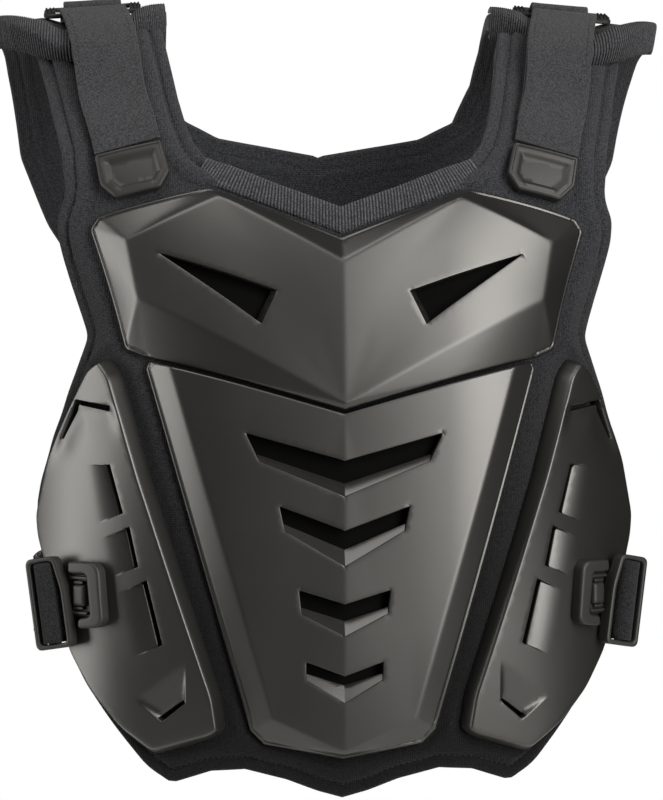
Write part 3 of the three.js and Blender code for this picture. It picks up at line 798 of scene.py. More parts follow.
# Relief by the distance from a panel's edge, from the plates and up the sheet; pairs are where it begins
# and where it is whole
EDGE_EASE = {"reach": 8.0, "samples": 9, "width": 4.0}
BINDING = 7.5
BOUND = {"drop": 1.0, "swell": 0.8}
GROOVE = {"depth": 1.4, "place": BINDING + 0.6, "width": 0.9}
ROLL = {"start": BINDING + 1.0, "width": 13.0, "power": 0.8}
COARSE_WAVES = {"u": 9.0, "v": 13.0, "sway": ((1.3, 23.0), (0.8, 17.0))}
FINE_WAVES = {"rising": (4.3, 7.1), "falling": (11.0, 5.2), "share": 0.4}
FRONT_SOFTNESS, BACK_SOFTNESS = 0.22, 0.25
PLATE_BED = {"free": (1.0, 5.0), "level": -0.3}
PLATE_RIDGE = {"height": 2.3, "plates": (2.5, 6.5), "edge": (14, 22), "fade": (300, 335)}
YOKE_HOLLOW = {"depth": 1.6, "rows": (384, 400), "edge": (19, 25)}
RISER = {"steps": ((8.5, 425, 480), (4.0, 455, 485)), "edge": (19, 27)}
LINING = {"taper": 2.2, "reach": 15.0, "seams": (9.0, 17.0), "width": 0.8, "height": 0.7}
FLAP_SWELL = {"height": 4.2, "strap": (17, 32), "rows": (452, 478)}

# Cloth model: its grid, its pressure and time, and the widths that are held at seams and plates
STUFFING = {
    "rows": 68, "columns": 26, "pressure": 4.0, "frames": 20, "most": 1.5, "seam": 9.0, "plates": 2.0,
}


def eased_edge(table, at):
    """Outer edge of a panel with its kinks eased."""
    rows = np.array(table, float)
    offsets = np.linspace(-EDGE_EASE["reach"], EDGE_EASE["reach"], EDGE_EASE["samples"])
    weights = np.exp(-((offsets / EDGE_EASE["width"]) ** 2))
    values = [np.interp(at + offset, rows[:, 0], rows[:, 1]) for offset in offsets]
    return np.tensordot(weights / weights.sum(), np.array(values), 1)


def spread(columns, pull=0.6):
    """Shares from 0 to 1 that crowd towards both ends."""
    even = np.linspace(0.0, 1.0, columns)
    return even - pull * np.sin(2 * math.pi * even) / (2 * math.pi)


def front_hem(u, rows):
    """Rows of the front panel, bent along its hem."""
    hem = np.array(FRONT_HEM, float)
    return rows + np.interp(u, hem[:, 0], hem[:, 1]) * np.maximum(0.0, 1.0 - rows / FRONT_HEM_HEIGHT)


def flap_end(u, rows):
    """Rows of the back panel, rounded at the ends of its shoulder flaps."""
    share = np.clip((rows - FLAP["start"]) / (FLAP["end"] - FLAP["start"]), 0.0, 1.0)
    return rows - share * FLAP["recede"] * ((u - FLAP["middle"]) / FLAP["half"]) ** 2


class PaddedPanel:
    """Half of a padded panel as a grid, which is mirrored into a closed pad."""

    COLUMNS = 72
    THICKNESS = 9.0
    ROUND = 1.8

    def __init__(self, sheet, rows, neckline, edge, bend, columns=COLUMNS):
        self.sheet = sheet
        self.rows, self.shares = rows, spread(columns)
        neck = np.array(neckline, float)
        self.open = rows > neck[0, 0]
        inner = np.where(self.open, np.interp(rows, neck[:, 0], neck[:, 1]), 0.0)
        outer = eased_edge(edge, rows)
        self.u = inner[:, None] + (outer - inner)[:, None] * self.shares
        self.v = bend(self.u, rows[:, None])
        self.shape = self.u.shape
        self.points = np.stack([self.u.ravel(), self.v.ravel()], 1)

    def rim(self, with_top):
        """Edges of the half outline: hem, outer edge, neckline and perhaps the top."""
        last = np.flatnonzero(self.open)[0] - 1
        chains = [
            np.stack([self.u[0], self.v[0]], 1),
            np.stack([self.u[:, -1], self.v[:, -1]], 1),
            np.stack([self.u[last:, 0], self.v[last:, 0]], 1),
        ]
        if with_top:
            chains.append(np.stack([self.u[-1], self.v[-1]], 1))
        parts = [chain_edges(chain) for chain in chains]
        return tuple(np.concatenate(pair) for pair in zip(*parts))

    def build(self, name, material, top, under):
        """Closed pad from the heights of its two faces."""
        rows, columns = self.shape
        shape = Shape()
        outward = self.sheet.arcs["out"] < 0
        for side in (1, -1):
            flip = outward == (side < 0)
            u, v = side * self.u, self.v
            faces = [self.sheet.place(u, v, level.reshape(self.shape)) for level in (top, under)]
            points = np.concatenate([face.reshape(-1, 3) for face in faces])
            index = np.arange(rows * columns).reshape(rows, columns)
            below = index + rows * columns
            quads = [grid_faces(rows, columns, flip), grid_faces(rows, columns, not flip) + rows * columns]
            first = np.flatnonzero(self.open)[0] - 1
            for line, low in (
                (index[:, -1], below[:, -1]),
                (index[first:, 0][::-1], below[first:, 0][::-1]),
                (index[0], below[0]),
                (index[-1][::-1], below[-1][::-1]),
            ):
                wall = np.stack([line[1:], line[:-1], low[:-1], low[1:]], 1)
                quads.append(wall[:, ::-1] if flip else wall)
            uv = np.stack([u.ravel(), v.ravel()], 1) * MM
            shape.add(points, np.concatenate(quads), np.concatenate([uv, uv]))
        return shape.piece(name, material, sharp=60, merge=1e-6)


def plate_outlines():
    """Outlines of the plates on the wearer's left half, which the panel leaves room for."""
    return [
        whole(named(CHEST_CORNERS, CHEST_OUTLINE)),
        whole(named(ABDOMEN_CORNERS, ABDOMEN_OUTLINE)),
        np.array(SIDE_OUTLINE, float),
    ]


def plate_clearance(points):
    """Distance outside the plates, zero under them."""
    clear = np.full(len(points), FAR)
    for outline in plate_outlines():
        gap = rim_distance(points, outline)
        clear = np.minimum(clear, np.where(inside(points, outline), 0.0, gap))
    return clear


def edge_relief(gap, roll_height):
    """Bound edge, sewn groove and rounded roll, by the distance from a panel's edge."""
    swell = BOUND["swell"] * np.sin(math.pi * np.clip(gap / BINDING, 0, 1))
    bound = np.where(gap < BINDING, swell - BOUND["drop"], 0.0)
    groove = GROOVE["depth"] * np.exp(-(((gap - GROOVE["place"]) / GROOVE["width"]) ** 2))
    roll = np.sin(math.pi * np.clip((gap - ROLL["start"]) / ROLL["width"], 0, 1)) ** ROLL["power"]
    return bound - groove, roll_height * roll


def softness(points, size):
    """Slight unevenness of a stuffed face, from two sets of crossing waves."""
    u, v = points[:, 0], points[:, 1]
    (sway_u, far_v), (sway_v, far_u) = COARSE_WAVES["sway"]
    coarse = np.sin(u / COARSE_WAVES["u"] + sway_u * np.sin(v / far_v))
    coarse = coarse * np.sin(v / COARSE_WAVES["v"] + sway_v * np.sin(u / far_u))
    (rising_u, rising_v), (falling_u, falling_v) = FINE_WAVES["rising"], FINE_WAVES["falling"]
    fine = np.sin(u / rising_u + v / rising_v) * np.sin(v / falling_v - u / falling_u)
    return size * (coarse + FINE_WAVES["share"] * fine)


def front_faces(panel, roll_height):
    """Heights of the front panel's outer and inner face."""
    points = panel.points
    gap = edge_distance(points, *panel.rim(with_top=False))
    clear = plate_clearance(points)
    sewn, roll = edge_relief(gap, roll_height)
    free = smoothstep(clear, *PLATE_BED["free"])
    v = points[:, 1]
    ridge = PLATE_RIDGE["height"] * smoothstep(clear, *PLATE_RIDGE["plates"])
    ridge = ridge * smoothstep(gap, *PLATE_RIDGE["edge"]) * (1 - smoothstep(v, *PLATE_RIDGE["fade"]))
    hollow = YOKE_HOLLOW["depth"] * smoothstep(v, *YOKE_HOLLOW["rows"])
    hollow = hollow * smoothstep(gap, *YOKE_HOLLOW["edge"])
    lift = sum(height * smoothstep(v, low, high) for height, low, high in RISER["steps"])
    lift = lift * (1 - smoothstep(gap, *RISER["edge"]))
    top = sewn + (roll + softness(points, FRONT_SOFTNESS)) * free + ridge - hollow + lift
    top = np.where(clear > 0, top, np.minimum(top, PLATE_BED["level"]))
    return top - quarter_round(gap, panel.ROUND), inner_face(panel, gap)


def inner_face(panel, gap):
    """Lining: thinner towards the edge, with the two sewn lines of its binding."""
    under = -panel.THICKNESS + LINING["taper"] * (1 - smoothstep(gap, 0.0, LINING["reach"]))
    lines = sum(np.exp(-(((gap - place) / LINING["width"]) ** 2)) for place in LINING["seams"])
    return under + LINING["height"] * lines + quarter_round(gap, panel.ROUND)


def flap_swell(u):
    """Stuffing that stands up beside the strap, which presses the flap down."""
    return FLAP_SWELL["height"] * smoothstep(np.abs(u - STRAP_BAR[0]), *FLAP_SWELL["strap"])


def back_faces(panel, roll_height):
    """Heights of the back panel's outer and inner face."""
    points = panel.points
    gap = edge_distance(points, *panel.rim(with_top=True))
    sewn, roll = edge_relief(gap, roll_height)
    flap = smoothstep(points[:, 1], *FLAP["plain"])
    top = (sewn + roll) * (1 - flap) + softness(points, BACK_SOFTNESS)
    top = top + flap_swell(points[:, 0]) * smoothstep(points[:, 1], *FLAP_SWELL["rows"])
    return top - quarter_round(gap, panel.ROUND), inner_face(panel, gap)


def front_panel(coarse=False):
    return panel_on(FRONT, FRONT_ROWS, FRONT_NECKLINE, FRONT_EDGE, front_hem, coarse)


def back_panel(coarse=False):
    return panel_on(BACK, BACK_ROWS, BACK_NECKLINE, BACK_EDGE, flap_end, coarse)


def panel_on(sheet, bands, neckline, edge, bend, coarse):
    """Fine panel with rows spaced band by band for the picture, or an even one for the cloth model."""
    first, last = bands[0][0], bands[-1][1]
    if coarse:
        rows = np.linspace(first, last, STUFFING["rows"])
        return PaddedPanel(sheet, rows, neckline, edge, bend, STUFFING["columns"])
    rows = np.concatenate([*(np.arange(*band) for band in bands), [last]])
    return PaddedPanel(sheet, rows, neckline, edge, bend)


def nearest(points, targets):
    """Index of the point nearest to each target."""
    return np.array([np.argmin(np.sum((points - target) ** 2, axis=1)) for target in targets])


def stuffing(panel, coarse, faces, finish):
    """Rise of a panel's outer face, from a cloth model blown up between its seams and plates."""
    top, _ = faces
    pad = coarse.build("stuffing", finish, *faces)
    start = np.array([vertex.co for vertex in pad.data.vertices])
    outer = coarse.sheet.place(coarse.u, coarse.v, top.reshape(coarse.shape)).reshape(-1, 3)
    index, other = nearest(start, outer), nearest(start, outer * np.array([-1.0, 1.0, 1.0]))
    free = edge_distance(coarse.points, *coarse.rim(with_top=True)) > STUFFING["seam"]
    if coarse.sheet is FRONT:
        free &= plate_clearance(coarse.points) > STUFFING["plates"]
    loose = set(index[free].tolist()) | set(other[free].tolist())
    held = pad.vertex_groups.new(name="held")
    held.add([vertex for vertex in range(len(start)) if vertex not in loose], 1.0, "REPLACE")
    cloth = pad.modifiers.new("stuffing", "CLOTH")
    cloth.settings.vertex_group_mass = held.name
    cloth.settings.use_pressure = True
    cloth.settings.uniform_pressure_force = STUFFING["pressure"]
    cloth.settings.effector_weights.gravity = 0.0
    cloth.collision_settings.use_collision = False
    cloth.point_cache.frame_end = STUFFING["frames"]
    scene = bpy.context.scene
    for moment in range(1, STUFFING["frames"] + 1):
        scene.frame_set(moment)
    blown = pad.evaluated_get(bpy.context.evaluated_depsgraph_get()).to_mesh()
    end = np.array([vertex.co for vertex in blown.vertices])
    _, _, out = coarse.sheet.axes(coarse.u, coarse.v)
    rise = np.sum((end - start)[index] * out.reshape(-1, 3), axis=1) / MM
    scene.frame_set(1)
    bpy.data.objects.remove(pad)
    rise = np.clip(rise, -STUFFING["most"], STUFFING["most"]).reshape(coarse.shape)
    across = columns_at(panel.shares, coarse.shares, rise.T).T
    return columns_at(panel.rows, coarse.rows, across).ravel()


# Strips: knit bands and webbing

PATH_STEPS = 6
WEBBING_SPACING = 2.0
SELVEDGE = {"inset": 1.2, "from": 4.2, "full": 3.0, "rise": 0.12, "edge": 0.15}


def turned_out(points, faces):
    """Faces of a closed shape, reversed if they point inwards."""
    volume = 0.0
    for face in faces:
        corners = points[list(face)]
        for second, third in zip(corners[1:], corners[2:]):
            volume += corners[0] @ np.cross(second, third)
    return [list(face)[::-1] for face in faces] if volume < 0 else [list(face) for face in faces]


def loft(shape, rings, capped, uv=None):
    """Adds closed rings of points joined one after another, with ends or joined into a ring."""
    rings = np.asarray(rings, float)
    count, around = rings.shape[:2]
    faces = [list(face) for face in grid_faces(count, around, wrap=True)]
    last = (count - 1) * around
    if capped:
        faces += [list(range(around))[::-1], list(range(last, last + around))]
    else:
        first = np.arange(around)
        ahead = np.roll(first, -1)
        faces += np.stack([first + last, ahead + last, ahead, first], 1).tolist()
    points = rings.reshape(-1, 3)
    shape.add(points, turned_out(points, faces), uv)


def smooth_path(points, across, spacing):
    """Even points on a smooth curve through stations, with the direction across at each."""
    points, across = np.asarray(points, float), np.asarray(across, float)
    at = run_along(points)
    slopes = np.gradient(points, at, axis=0)
    fine = np.linspace(0, at[-1], int(at[-1] / spacing * PATH_STEPS))
    step = np.clip(np.searchsorted(at, fine, side="right") - 1, 0, len(at) - 2)
    size = (at[step + 1] - at[step])[:, None]
    share = ((fine - at[step])[:, None]) / size
    curve = (
        (2 * share**3 - 3 * share**2 + 1) * points[step]
        + (share**3 - 2 * share**2 + share) * size * slopes[step]
        + (3 * share**2 - 2 * share**3) * points[step + 1]
        + (share**3 - share**2) * size * slopes[step + 1]
    )
    turned = across[step] * (1 - share) + across[step + 1] * share
    run = run_along(curve)
    even = np.linspace(0, run[-1], int(run[-1] / spacing) + 1)
    line, turned = columns_at(even, run, curve), columns_at(even, run, turned)
    along = unit(np.gradient(line, axis=0))
    turned = unit(turned - along * np.sum(turned * along, axis=1)[:, None])
    return line, turned, np.cross(turned, along), even


def webbing_section(width, thickness, columns=14):
    """Cross-section of webbing as across and out, with slightly thicker selvedges."""
    across = np.linspace(-0.5, 0.5, columns) * (width - SELVEDGE["inset"])
    half, rise = width / 2, SELVEDGE["rise"]
    selvedge = rise * smoothstep(np.abs(across), half - SELVEDGE["from"], half - SELVEDGE["full"])
    face = np.stack([across, thickness / 2 - rise + selvedge], 1)
    near = half - SELVEDGE["edge"]
    edge = np.array([[near, thickness / 4], [half, 0.0], [near, -thickness / 4]])
    return np.concatenate([face, edge, -face, -edge])


def webbing(shape, stations, width, thickness):
    """Adds a strip of webbing through stations of centre and across, and returns its length."""
    centres, across = zip(*stations)
    line, turned, out, run = smooth_path(centres, across, WEBBING_SPACING * MM)
    section = webbing_section(width, thickness) * MM
    rings = line[:, None] + turned[:, None] * section[:, :1] + out[:, None] * section[:, 1:]
    uv = np.stack(np.broadcast_arrays(section[:, 0], run[:, None]), -1)
    loft(shape, rings, True, uv)
    return float(run[-1])


def stations_on(rows, side):
    """Centres and directions across for rows of (sheet, u, v, h)."""
    return [
        (sheet.place(side * u, v, h), sheet.axes(np.float64(side * u), np.float64(v))[0])
        for sheet, u, v, h in rows
    ]


def half_turn(bar, way, steps=8):
    """Rows of webbing that turns back round a bar on the back sheet."""
    u, v, h, radius = bar
    angles = np.linspace(0, math.pi, steps + 1)
    return [(BACK, u, v + way * radius * math.sin(a), h - radius * math.cos(a)) for a in angles]


# Webbing as rows of (sheet, u, v, h), and the bars it turns round as (u, v, h, radius)
STRAP_BAR = (146.5, 504.5, 5.6, 3.7)
STRAP_UP = [
    (FRONT, 128, 404, 1.6), (FRONT, 133, 428, 3.4), (BACK, 139, 540, 5.6), (BACK, 141, 530, 5.2),
    (BACK, 144, 514, 4.9),
]
STRAP_DOWN = [
    (BACK, 144, 516, 8.8), (BACK, 141, 530, 8.5), (BACK, 139, 541, 8.6), (FRONT, 132.5, 424, 8),
    (FRONT, 128, 405, 6.6), (FRONT, 124.4, 387, 5.6),
]
KEEPER_BAR = (146.5, 481.7, 8.05, 4.1)
KEEPER_WIDTH = 36
KEEPER_LOW = [(BACK, 146.5, 450, 1.8), (BACK, 146.5, 463, 1.8)]
KEEPER_HIGH = [(BACK, 146.5, 463, 4.4), (BACK, 146.5, 450, 4.4)]
WEBBING_WIDTH = 40
SIDE_WIDTH = 47
WEBBING_THICKNESS = 2


# Moulded fittings

BLOCK = {"spacing": 1.6, "grain": 2.5, "clear": 0.8, "rows": (0.3, 0.8, 1.5, 2.4)}


def block(shape, outline, level, low, rows=BLOCK["rows"]):
    """Adds a moulded block on the front sheet, with its top as a height by the distance from its edge."""
    loop = divide(anticlockwise(outline), BLOCK["spacing"])
    grid = grid_over(loop, BLOCK["grain"], BLOCK["grain"])
    middle = grid[rim_distance(grid, loop) > rows[-1] + BLOCK["clear"]]
    points = np.concatenate([*offset_rows(loop, rows), middle])
    corners, faces = triangulate(points[inside(points, loop)], [loop])
    top = level(rim_distance(corners, loop))
    shape.add_shell(corners, faces, top, low, np.tile(corners * MM, (2, 1)))


def rounded_top(top, radius):
    """Level of a block with a rounded edge."""
    return lambda gap: top - quarter_round(gap, radius)


def rectangle(middle, width, height):
    """Corners of a rectangle, anticlockwise."""
    (u, v), half, tall = middle, width / 2, height / 2
    return [(u - half, v - tall), (u + half, v - tall), (u + half, v + tall), (u - half, v + tall)]


# Outlines are the wearer's left ones, low and high are h, and a corner is a radius with or without its steps
TAB = {
    "outline": [(104.5, 388.5), (99.5, 368), (105, 358), (131, 354), (140, 363), (143.5, 382)],
    "corner": 1.8, "low": 3.0, "high": 8.0, "bevel": 0.8, "border": 0.9, "border_edge": (1.6, 2.2),
    "pocket": 2.2, "pocket_edge": (4.6, 7.4), "rows": (0.3, 0.8, 1.6, 1.9, 2.2, 4.6, 5.6, 6.5, 7.4),
}
STITCH_INSET = 16.5
HOUSING = {
    "outline": [
        (158, 135), (141, 135), (137.5, 131), (135, 101), (138, 97), (151, 95.5), (151, 101.5), (143, 103),
        (145.5, 128), (158, 128),
    ],
    "corner": (2.2, 3), "low": 8.4, "high": 16.0, "edge": 1.6,
}
PIN_BED = {"corner": (1.0, 2), "high": 10.2, "edge": 0.6, "rows": (0.3, 0.6)}
PIN_ROLLER = {"corner": (2.0, 4), "high": 14.0, "edge": 2.2, "rows": BLOCK["rows"]}
PIN_LUG = {"corner": (0.6, 2), "high": 12.6, "edge": 0.7, "rows": (0.3, 0.7)}
PIN_BLOCKS = [
    {"middle": (151, 115), "size": (15, 25), **PIN_BED},
    {"middle": (152, 115), "size": (9, 13), **PIN_ROLLER},
    {"middle": (153, 125.4), "size": (13, 2.0), **PIN_LUG},
    {"middle": (153, 122.6), "size": (7, 2.0), **PIN_LUG},
    {"middle": (153, 107.4), "size": (7, 2.0), **PIN_LUG},
    {"middle": (153, 104.6), "size": (13, 2.0), **PIN_LUG},
]

# Buckle frame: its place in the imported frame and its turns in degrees. The webbing's loop round its post
# is (across, out) from the post's middle
FRAME = {
    "place": (169.5, -90.5, -352), "turn": 30, "tilt": 9, "height": 54, "wide": 24.5, "narrow": 20.5,
    "corner": 6.75, "rim": 3, "thick": 8, "rounds": (1.2, 4.0), "bar": 7.6, "bar_thick": 4, "bar_place": 0.9,
    "bar_chamfer": 0.8, "bar_round": 0.6,
}
SIDE_LOOP = [
    (1, -7.5), (-3.6, -6), (-5.3, -2.05), (-5.3, 1.6), (-3.9, 4.1), (3.8, 4.1), (5.8, 1.4), (5.8, -2.05),
    (7.2, -9),
]
SIDE_SWING = (182, -6)
SIDE_BACK = {"v": 68, "h": 3.8, "ends": (176, 145)}

# Shoulder ring on the back sheet, and its section as (share of the bar's width, height)
RING = {
    "width": 60, "depth": 27, "bar": 3.2, "end": 7, "tilt": 6, "u": 146.5, "v": 492.9, "h": 5.9,
    "rounds": (5.0, 2.5),
}
RING_SECTION = [
    (0, -0.8), (0, 0.8), (0.22, 1.4), (0.45, 1.5), (0.78, 1.4), (1, 0.8), (1, -0.8), (0.75, -1.5),
    (0.25, -1.5),
]
RING_RIDGES = {
    "places": (-28.6, -26.4, -24.2, 24.2, 26.4, 28.6), "size": (1.3, 18.0), "round": 0.4,
    "section": [(0.0, 1.0), (0.0, 2.1), (0.35, 2.5)],
}


def sided(loop, side):
    """Outline on one side, of the one on the wearer's left."""
    return [(side * u, v) for u, v in loop]


def frame_axes(side):
    """Matrix of a buckle frame's own axes: across, up and out."""
    x, y, z = FRAME["place"]
    turn, tilt = math.radians(FRAME["turn"]) * side, math.radians(FRAME["tilt"]) * side
    return (
        Matrix.Translation(Vector((side * x, y, z)) * MM)
        @ Matrix.Rotation(turn, 4, "Z")
        @ Matrix.Rotation(math.pi / 2, 4, "X")
        @ Matrix.Rotation(-tilt, 4, "Z")
    )


def placed(points, axes):
    """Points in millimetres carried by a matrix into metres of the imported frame."""
    points = np.asarray(points, float) * MM
    turn = np.array(axes.to_3x3())
    return points @ turn.T + np.array(axes.translation)


def moulding(shape, section, outline, axes, capped):
    """Adds rings of points, one for each (place, height) of a section, with the outline at each place."""
    rings = []
    for place, height in section:
        loop = outline(place)
        rings.append(placed(np.column_stack([loop, np.full(len(loop), height)]), axes))
    loft(shape, rings, capped)


def narrowing(loop, radius):
    """Outline of a moulding by how far it is set in, with rounded corners."""
    return lambda width: round_corners(inset(loop, width), radius)


def buckle_frame(shape, side):
    """Adds the five-sided frame and the post in it."""
    outer, top = side * FRAME["wide"] / 2, FRAME["height"] / 2
    inner = outer - side * FRAME["narrow"]
    corners = anticlockwise([
        (outer, -top), (outer, top), (inner, top), (-outer, FRAME["corner"]), (-outer, -top),
    ])
    rim, half = FRAME["rim"], FRAME["thick"] / 2
    section = [
        (0.0, 0.8 - half), (0.0, half - 1.2), (0.35, half - 0.35), (1.1, half), (rim - 0.9, half),
        (rim - 0.3, half - 0.4), (rim, half - 1.3), (rim, 0.8 - half), (rim - 0.6, -half), (0.7, -half),
    ]
    least, most = FRAME["rounds"]

    def five_sided(width):
        return round_corners(inset(corners, width), max(least, most - width / 2))

    axes = frame_axes(side)
    moulding(shape, section, five_sided, axes, False)
    post = rectangle((side * FRAME["bar_place"], 0), FRAME["bar"], FRAME["height"] - rim)
    deep, chamfer = FRAME["bar_thick"] / 2, FRAME["bar_chamfer"]
    section = [(chamfer, -deep), (0.0, chamfer - deep), (0.0, deep - chamfer), (chamfer, deep)]
    moulding(shape, section, narrowing(post, FRAME["bar_round"]), axes, True)


def side_stations(side):
    """Stations of the side webbing: round the frame's post, then back to the rear panel."""
    axes = frame_axes(side)
    up = np.array(axes.to_3x3()) @ np.array([0.0, 1.0, 0.0])
    local = [(side * (FRAME["bar_place"] + x), 0.0, z) for x, z in SIDE_LOOP]
    stations = [(centre, up) for centre in placed(local, axes)]
    upright = np.array([0.0, 0.0, 1.0])
    x, y = SIDE_SWING
    stations.append((np.array([side * x, y, FRAME["place"][2]]) * MM, upright))
    for u in SIDE_BACK["ends"]:
        stations.append((BACK.place(side * u, SIDE_BACK["v"], SIDE_BACK["h"]), upright))
    return stations


def shoulder_ring(shape, side):
    """Adds the plastic ring that the shoulder webbing turns round, with stepped ends."""
    sideways, along, out = BACK.axes(np.float64(side * RING["u"]), np.float64(RING["v"]))
    axes = Matrix(np.column_stack([sideways, along, out]).tolist()).to_4x4()
    axes.translation = Vector(BACK.place(side * RING["u"], RING["v"], RING["h"]))
    axes = axes @ Matrix.Rotation(math.radians(RING["tilt"]), 4, "X")
    begin, less = RING["rounds"]

    def oblong(share):
        wide, deep = RING["width"] - 2 * RING["end"] * share, RING["depth"] - 2 * RING["bar"] * share
        return round_corners(rectangle((0, 0), wide, deep), begin - less * share)

    moulding(shape, RING_SECTION, oblong, axes, False)
    for place in RING_RIDGES["places"]:
        ridge = rectangle((place, 0), *RING_RIDGES["size"])
        moulding(shape, RING_RIDGES["section"], narrowing(ridge, RING_RIDGES["round"]), axes, True)


# Geometry Nodes

RIB_ROUND = 0.7
STITCH_BALL = {"Segments": 6, "Rings": 4, "Radius": 1.0}


def new_tree(name, sizes):
    """Geometry tree with inputs for sizes and a material, its ends and the inputs' identifiers."""
    tree = bpy.data.node_groups.new(name, "GeometryNodeTree")
    tree.interface.new_socket("Geometry", in_out="INPUT", socket_type="NodeSocketGeometry")
    names = {}
    for label, kind in (*((size, "NodeSocketFloat") for size in sizes), ("Material", "NodeSocketMaterial")):
        names[label] = tree.interface.new_socket(label, in_out="INPUT", socket_type=kind).identifier
    tree.interface.new_socket("Geometry", in_out="OUTPUT", socket_type="NodeSocketGeometry")
    return tree, tree.nodes.new("NodeGroupInput"), tree.nodes.new("NodeGroupOutput"), names


def math_node(tree, operation, first, second=None):
    """Math node on sockets or numbers; returns its output."""
    node = tree.nodes.new("ShaderNodeMath")
    node.operation = operation
    for socket, value in zip(node.inputs, (first, second)):
        if isinstance(value, (int, float)):
            socket.default_value = value
        elif value is not None:
            tree.links.new(value, socket)
    return node.outputs[0]


def attribute_value(tree, name):
    node = tree.nodes.new("GeometryNodeInputNamedAttribute")
    node.data_type = "FLOAT"
    node.inputs["Name"].default_value = name
    return node.outputs["Attribute"]


def end_tree(tree, geometry, source, last):
    """Realizes instances, sets the material and joins the tree's output."""
    real = tree.nodes.new("GeometryNodeRealizeInstances")
    paint = tree.nodes.new("GeometryNodeSetMaterial")
    tree.links.new(geometry, real.inputs["Geometry"])
    tree.links.new(real.outputs["Geometry"], paint.inputs["Geometry"])
    tree.links.new(source.outputs["Material"], paint.inputs["Material"])
    tree.links.new(paint.outputs["Geometry"], last.inputs["Geometry"])


def knit_rib_tree():
    """Raises ribs along a band, by the distance along it that its points hold."""
    tree, source, last, names = new_tree("Knit ribs", ("Rib spacing", "Rib height"))
    turns = math_node(tree, "DIVIDE", attribute_value(tree, "along"), source.outputs["Rib spacing"])
    wave = math_node(tree, "SINE", math_node(tree, "MULTIPLY", turns, math.pi))
    bump = math_node(tree, "POWER", math_node(tree, "ABSOLUTE", wave), RIB_ROUND)
    rise = math_node(tree, "MULTIPLY", bump, source.outputs["Rib height"])
    rise = math_node(tree, "MULTIPLY", rise, attribute_value(tree, "rib"))
    scale = tree.nodes.new("ShaderNodeVectorMath")
    scale.operation = "SCALE"
    tree.links.new(tree.nodes.new("GeometryNodeInputNormal").outputs[0], scale.inputs[0])
    tree.links.new(rise, scale.inputs["Scale"])
    move = tree.nodes.new("GeometryNodeSetPosition")
    tree.links.new(source.outputs["Geometry"], move.inputs["Geometry"])
    tree.links.new(scale.outputs[0], move.inputs["Offset"])
    end_tree(tree, move.outputs["Geometry"], source, last)
    return tree, names


def stitch_tree():
    """Lays one stitch after another along every line of edges."""
    tree, source, last, names = new_tree("Stitch row", ("Stitch pitch", "Stitch length", "Thread radius"))
    curve = tree.nodes.new("GeometryNodeMeshToCurve")
    even = tree.nodes.new("GeometryNodeResampleCurve")
    even.mode = "LENGTH"
    ball = tree.nodes.new("GeometryNodeMeshUVSphere")
    for label, value in STITCH_BALL.items():
        ball.inputs[label].default_value = value
    size = tree.nodes.new("ShaderNodeCombineXYZ")
    thread = tree.nodes.new("GeometryNodeTransform")
    spread_out = tree.nodes.new("GeometryNodeInstanceOnPoints")
    align = tree.nodes.new("FunctionNodeAlignRotationToVector")
    align.axis = "X"
    link = tree.links.new
    link(source.outputs["Geometry"], curve.inputs["Mesh"])
    link(curve.outputs["Curve"], even.inputs["Curve"])
    link(source.outputs["Stitch pitch"], even.inputs["Length"])
    link(math_node(tree, "DIVIDE", source.outputs["Stitch length"], 2.0), size.inputs["X"])
    for axis in ("Y", "Z"):
        link(source.outputs["Thread radius"], size.inputs[axis])
    link(ball.outputs["Mesh"], thread.inputs["Geometry"])
    link(size.outputs[0], thread.inputs["Scale"])
    link(tree.nodes.new("GeometryNodeInputTangent").outputs[0], align.inputs["Vector"])
    link(even.outputs["Curve"], spread_out.inputs["Points"])
    link(thread.outputs["Geometry"], spread_out.inputs["Instance"])
    link(align.outputs["Rotation"], spread_out.inputs["Rotation"])
    end_tree(tree, spread_out.outputs["Instances"], source, last)
    return tree, names


def run_tree(piece, tree, names, values):
    """Applies a tree with its inputs, and leaves a plain mesh."""
    modifier = piece.modifiers.new(tree.name, "NODES")
    modifier.node_group = tree
    for label, value in values.items():
        modifier[names[label]] = value
    bpy.context.view_layer.update()
    graph = bpy.context.evaluated_depsgraph_get()
    mesh = bpy.data.meshes.new_from_object(piece.evaluated_get(graph))
    piece.modifiers.clear()
    piece.data = mesh
    mesh.shade_smooth()
    return piece


def knit_band(name, sheet, upper, lower, section, rise, material, sizes):
    """Knit band between two lines on a sheet, with a closed section of (share, height, rib)."""
    section = np.array(section, float)
    share, height, rib = section.T
    height = height + rise[:, None] * (height > 0)
    u = upper[:, None, 0] + (lower - upper)[:, None, 0] * share
    v = upper[:, None, 1] + (lower - upper)[:, None, 1] * share
    rings = sheet.place(u, v, height)
    along = run_along((upper + lower) / 2) * MM
    across = run_along(np.stack([share * KNIT_WIDTH, section[:, 1]], 1)) * MM
    uv = np.stack(np.broadcast_arrays(across[None], along[:, None]), -1)
    shape = Shape()
    loft(shape, rings, True, uv)
    piece = shape.piece(name, material)
    for label, values in (("along", np.repeat(along, len(share))), ("rib", np.tile(rib, len(along)))):
        layer = piece.data.attributes.new(label, "FLOAT", "POINT")
        layer.data.foreach_set("value", values.astype(np.float32))
    tree, names = knit_rib_tree()
    values = {"Rib spacing": sizes.rib_spacing, "Rib height": sizes.rib_height, "Material": material}
    return run_tree(piece, tree, names, values), float(along[-1])


def lines_along(chain, beside, spacing):
    """Evenly spaced points on a chain, those on the chain beside it and their share of the way."""
    run = run_along(chain)
    even = np.linspace(0, run[-1], max(2, int(run[-1] / spacing)))
    return columns_at(even, run, chain), columns_at(even, run, beside), even / run[-1]


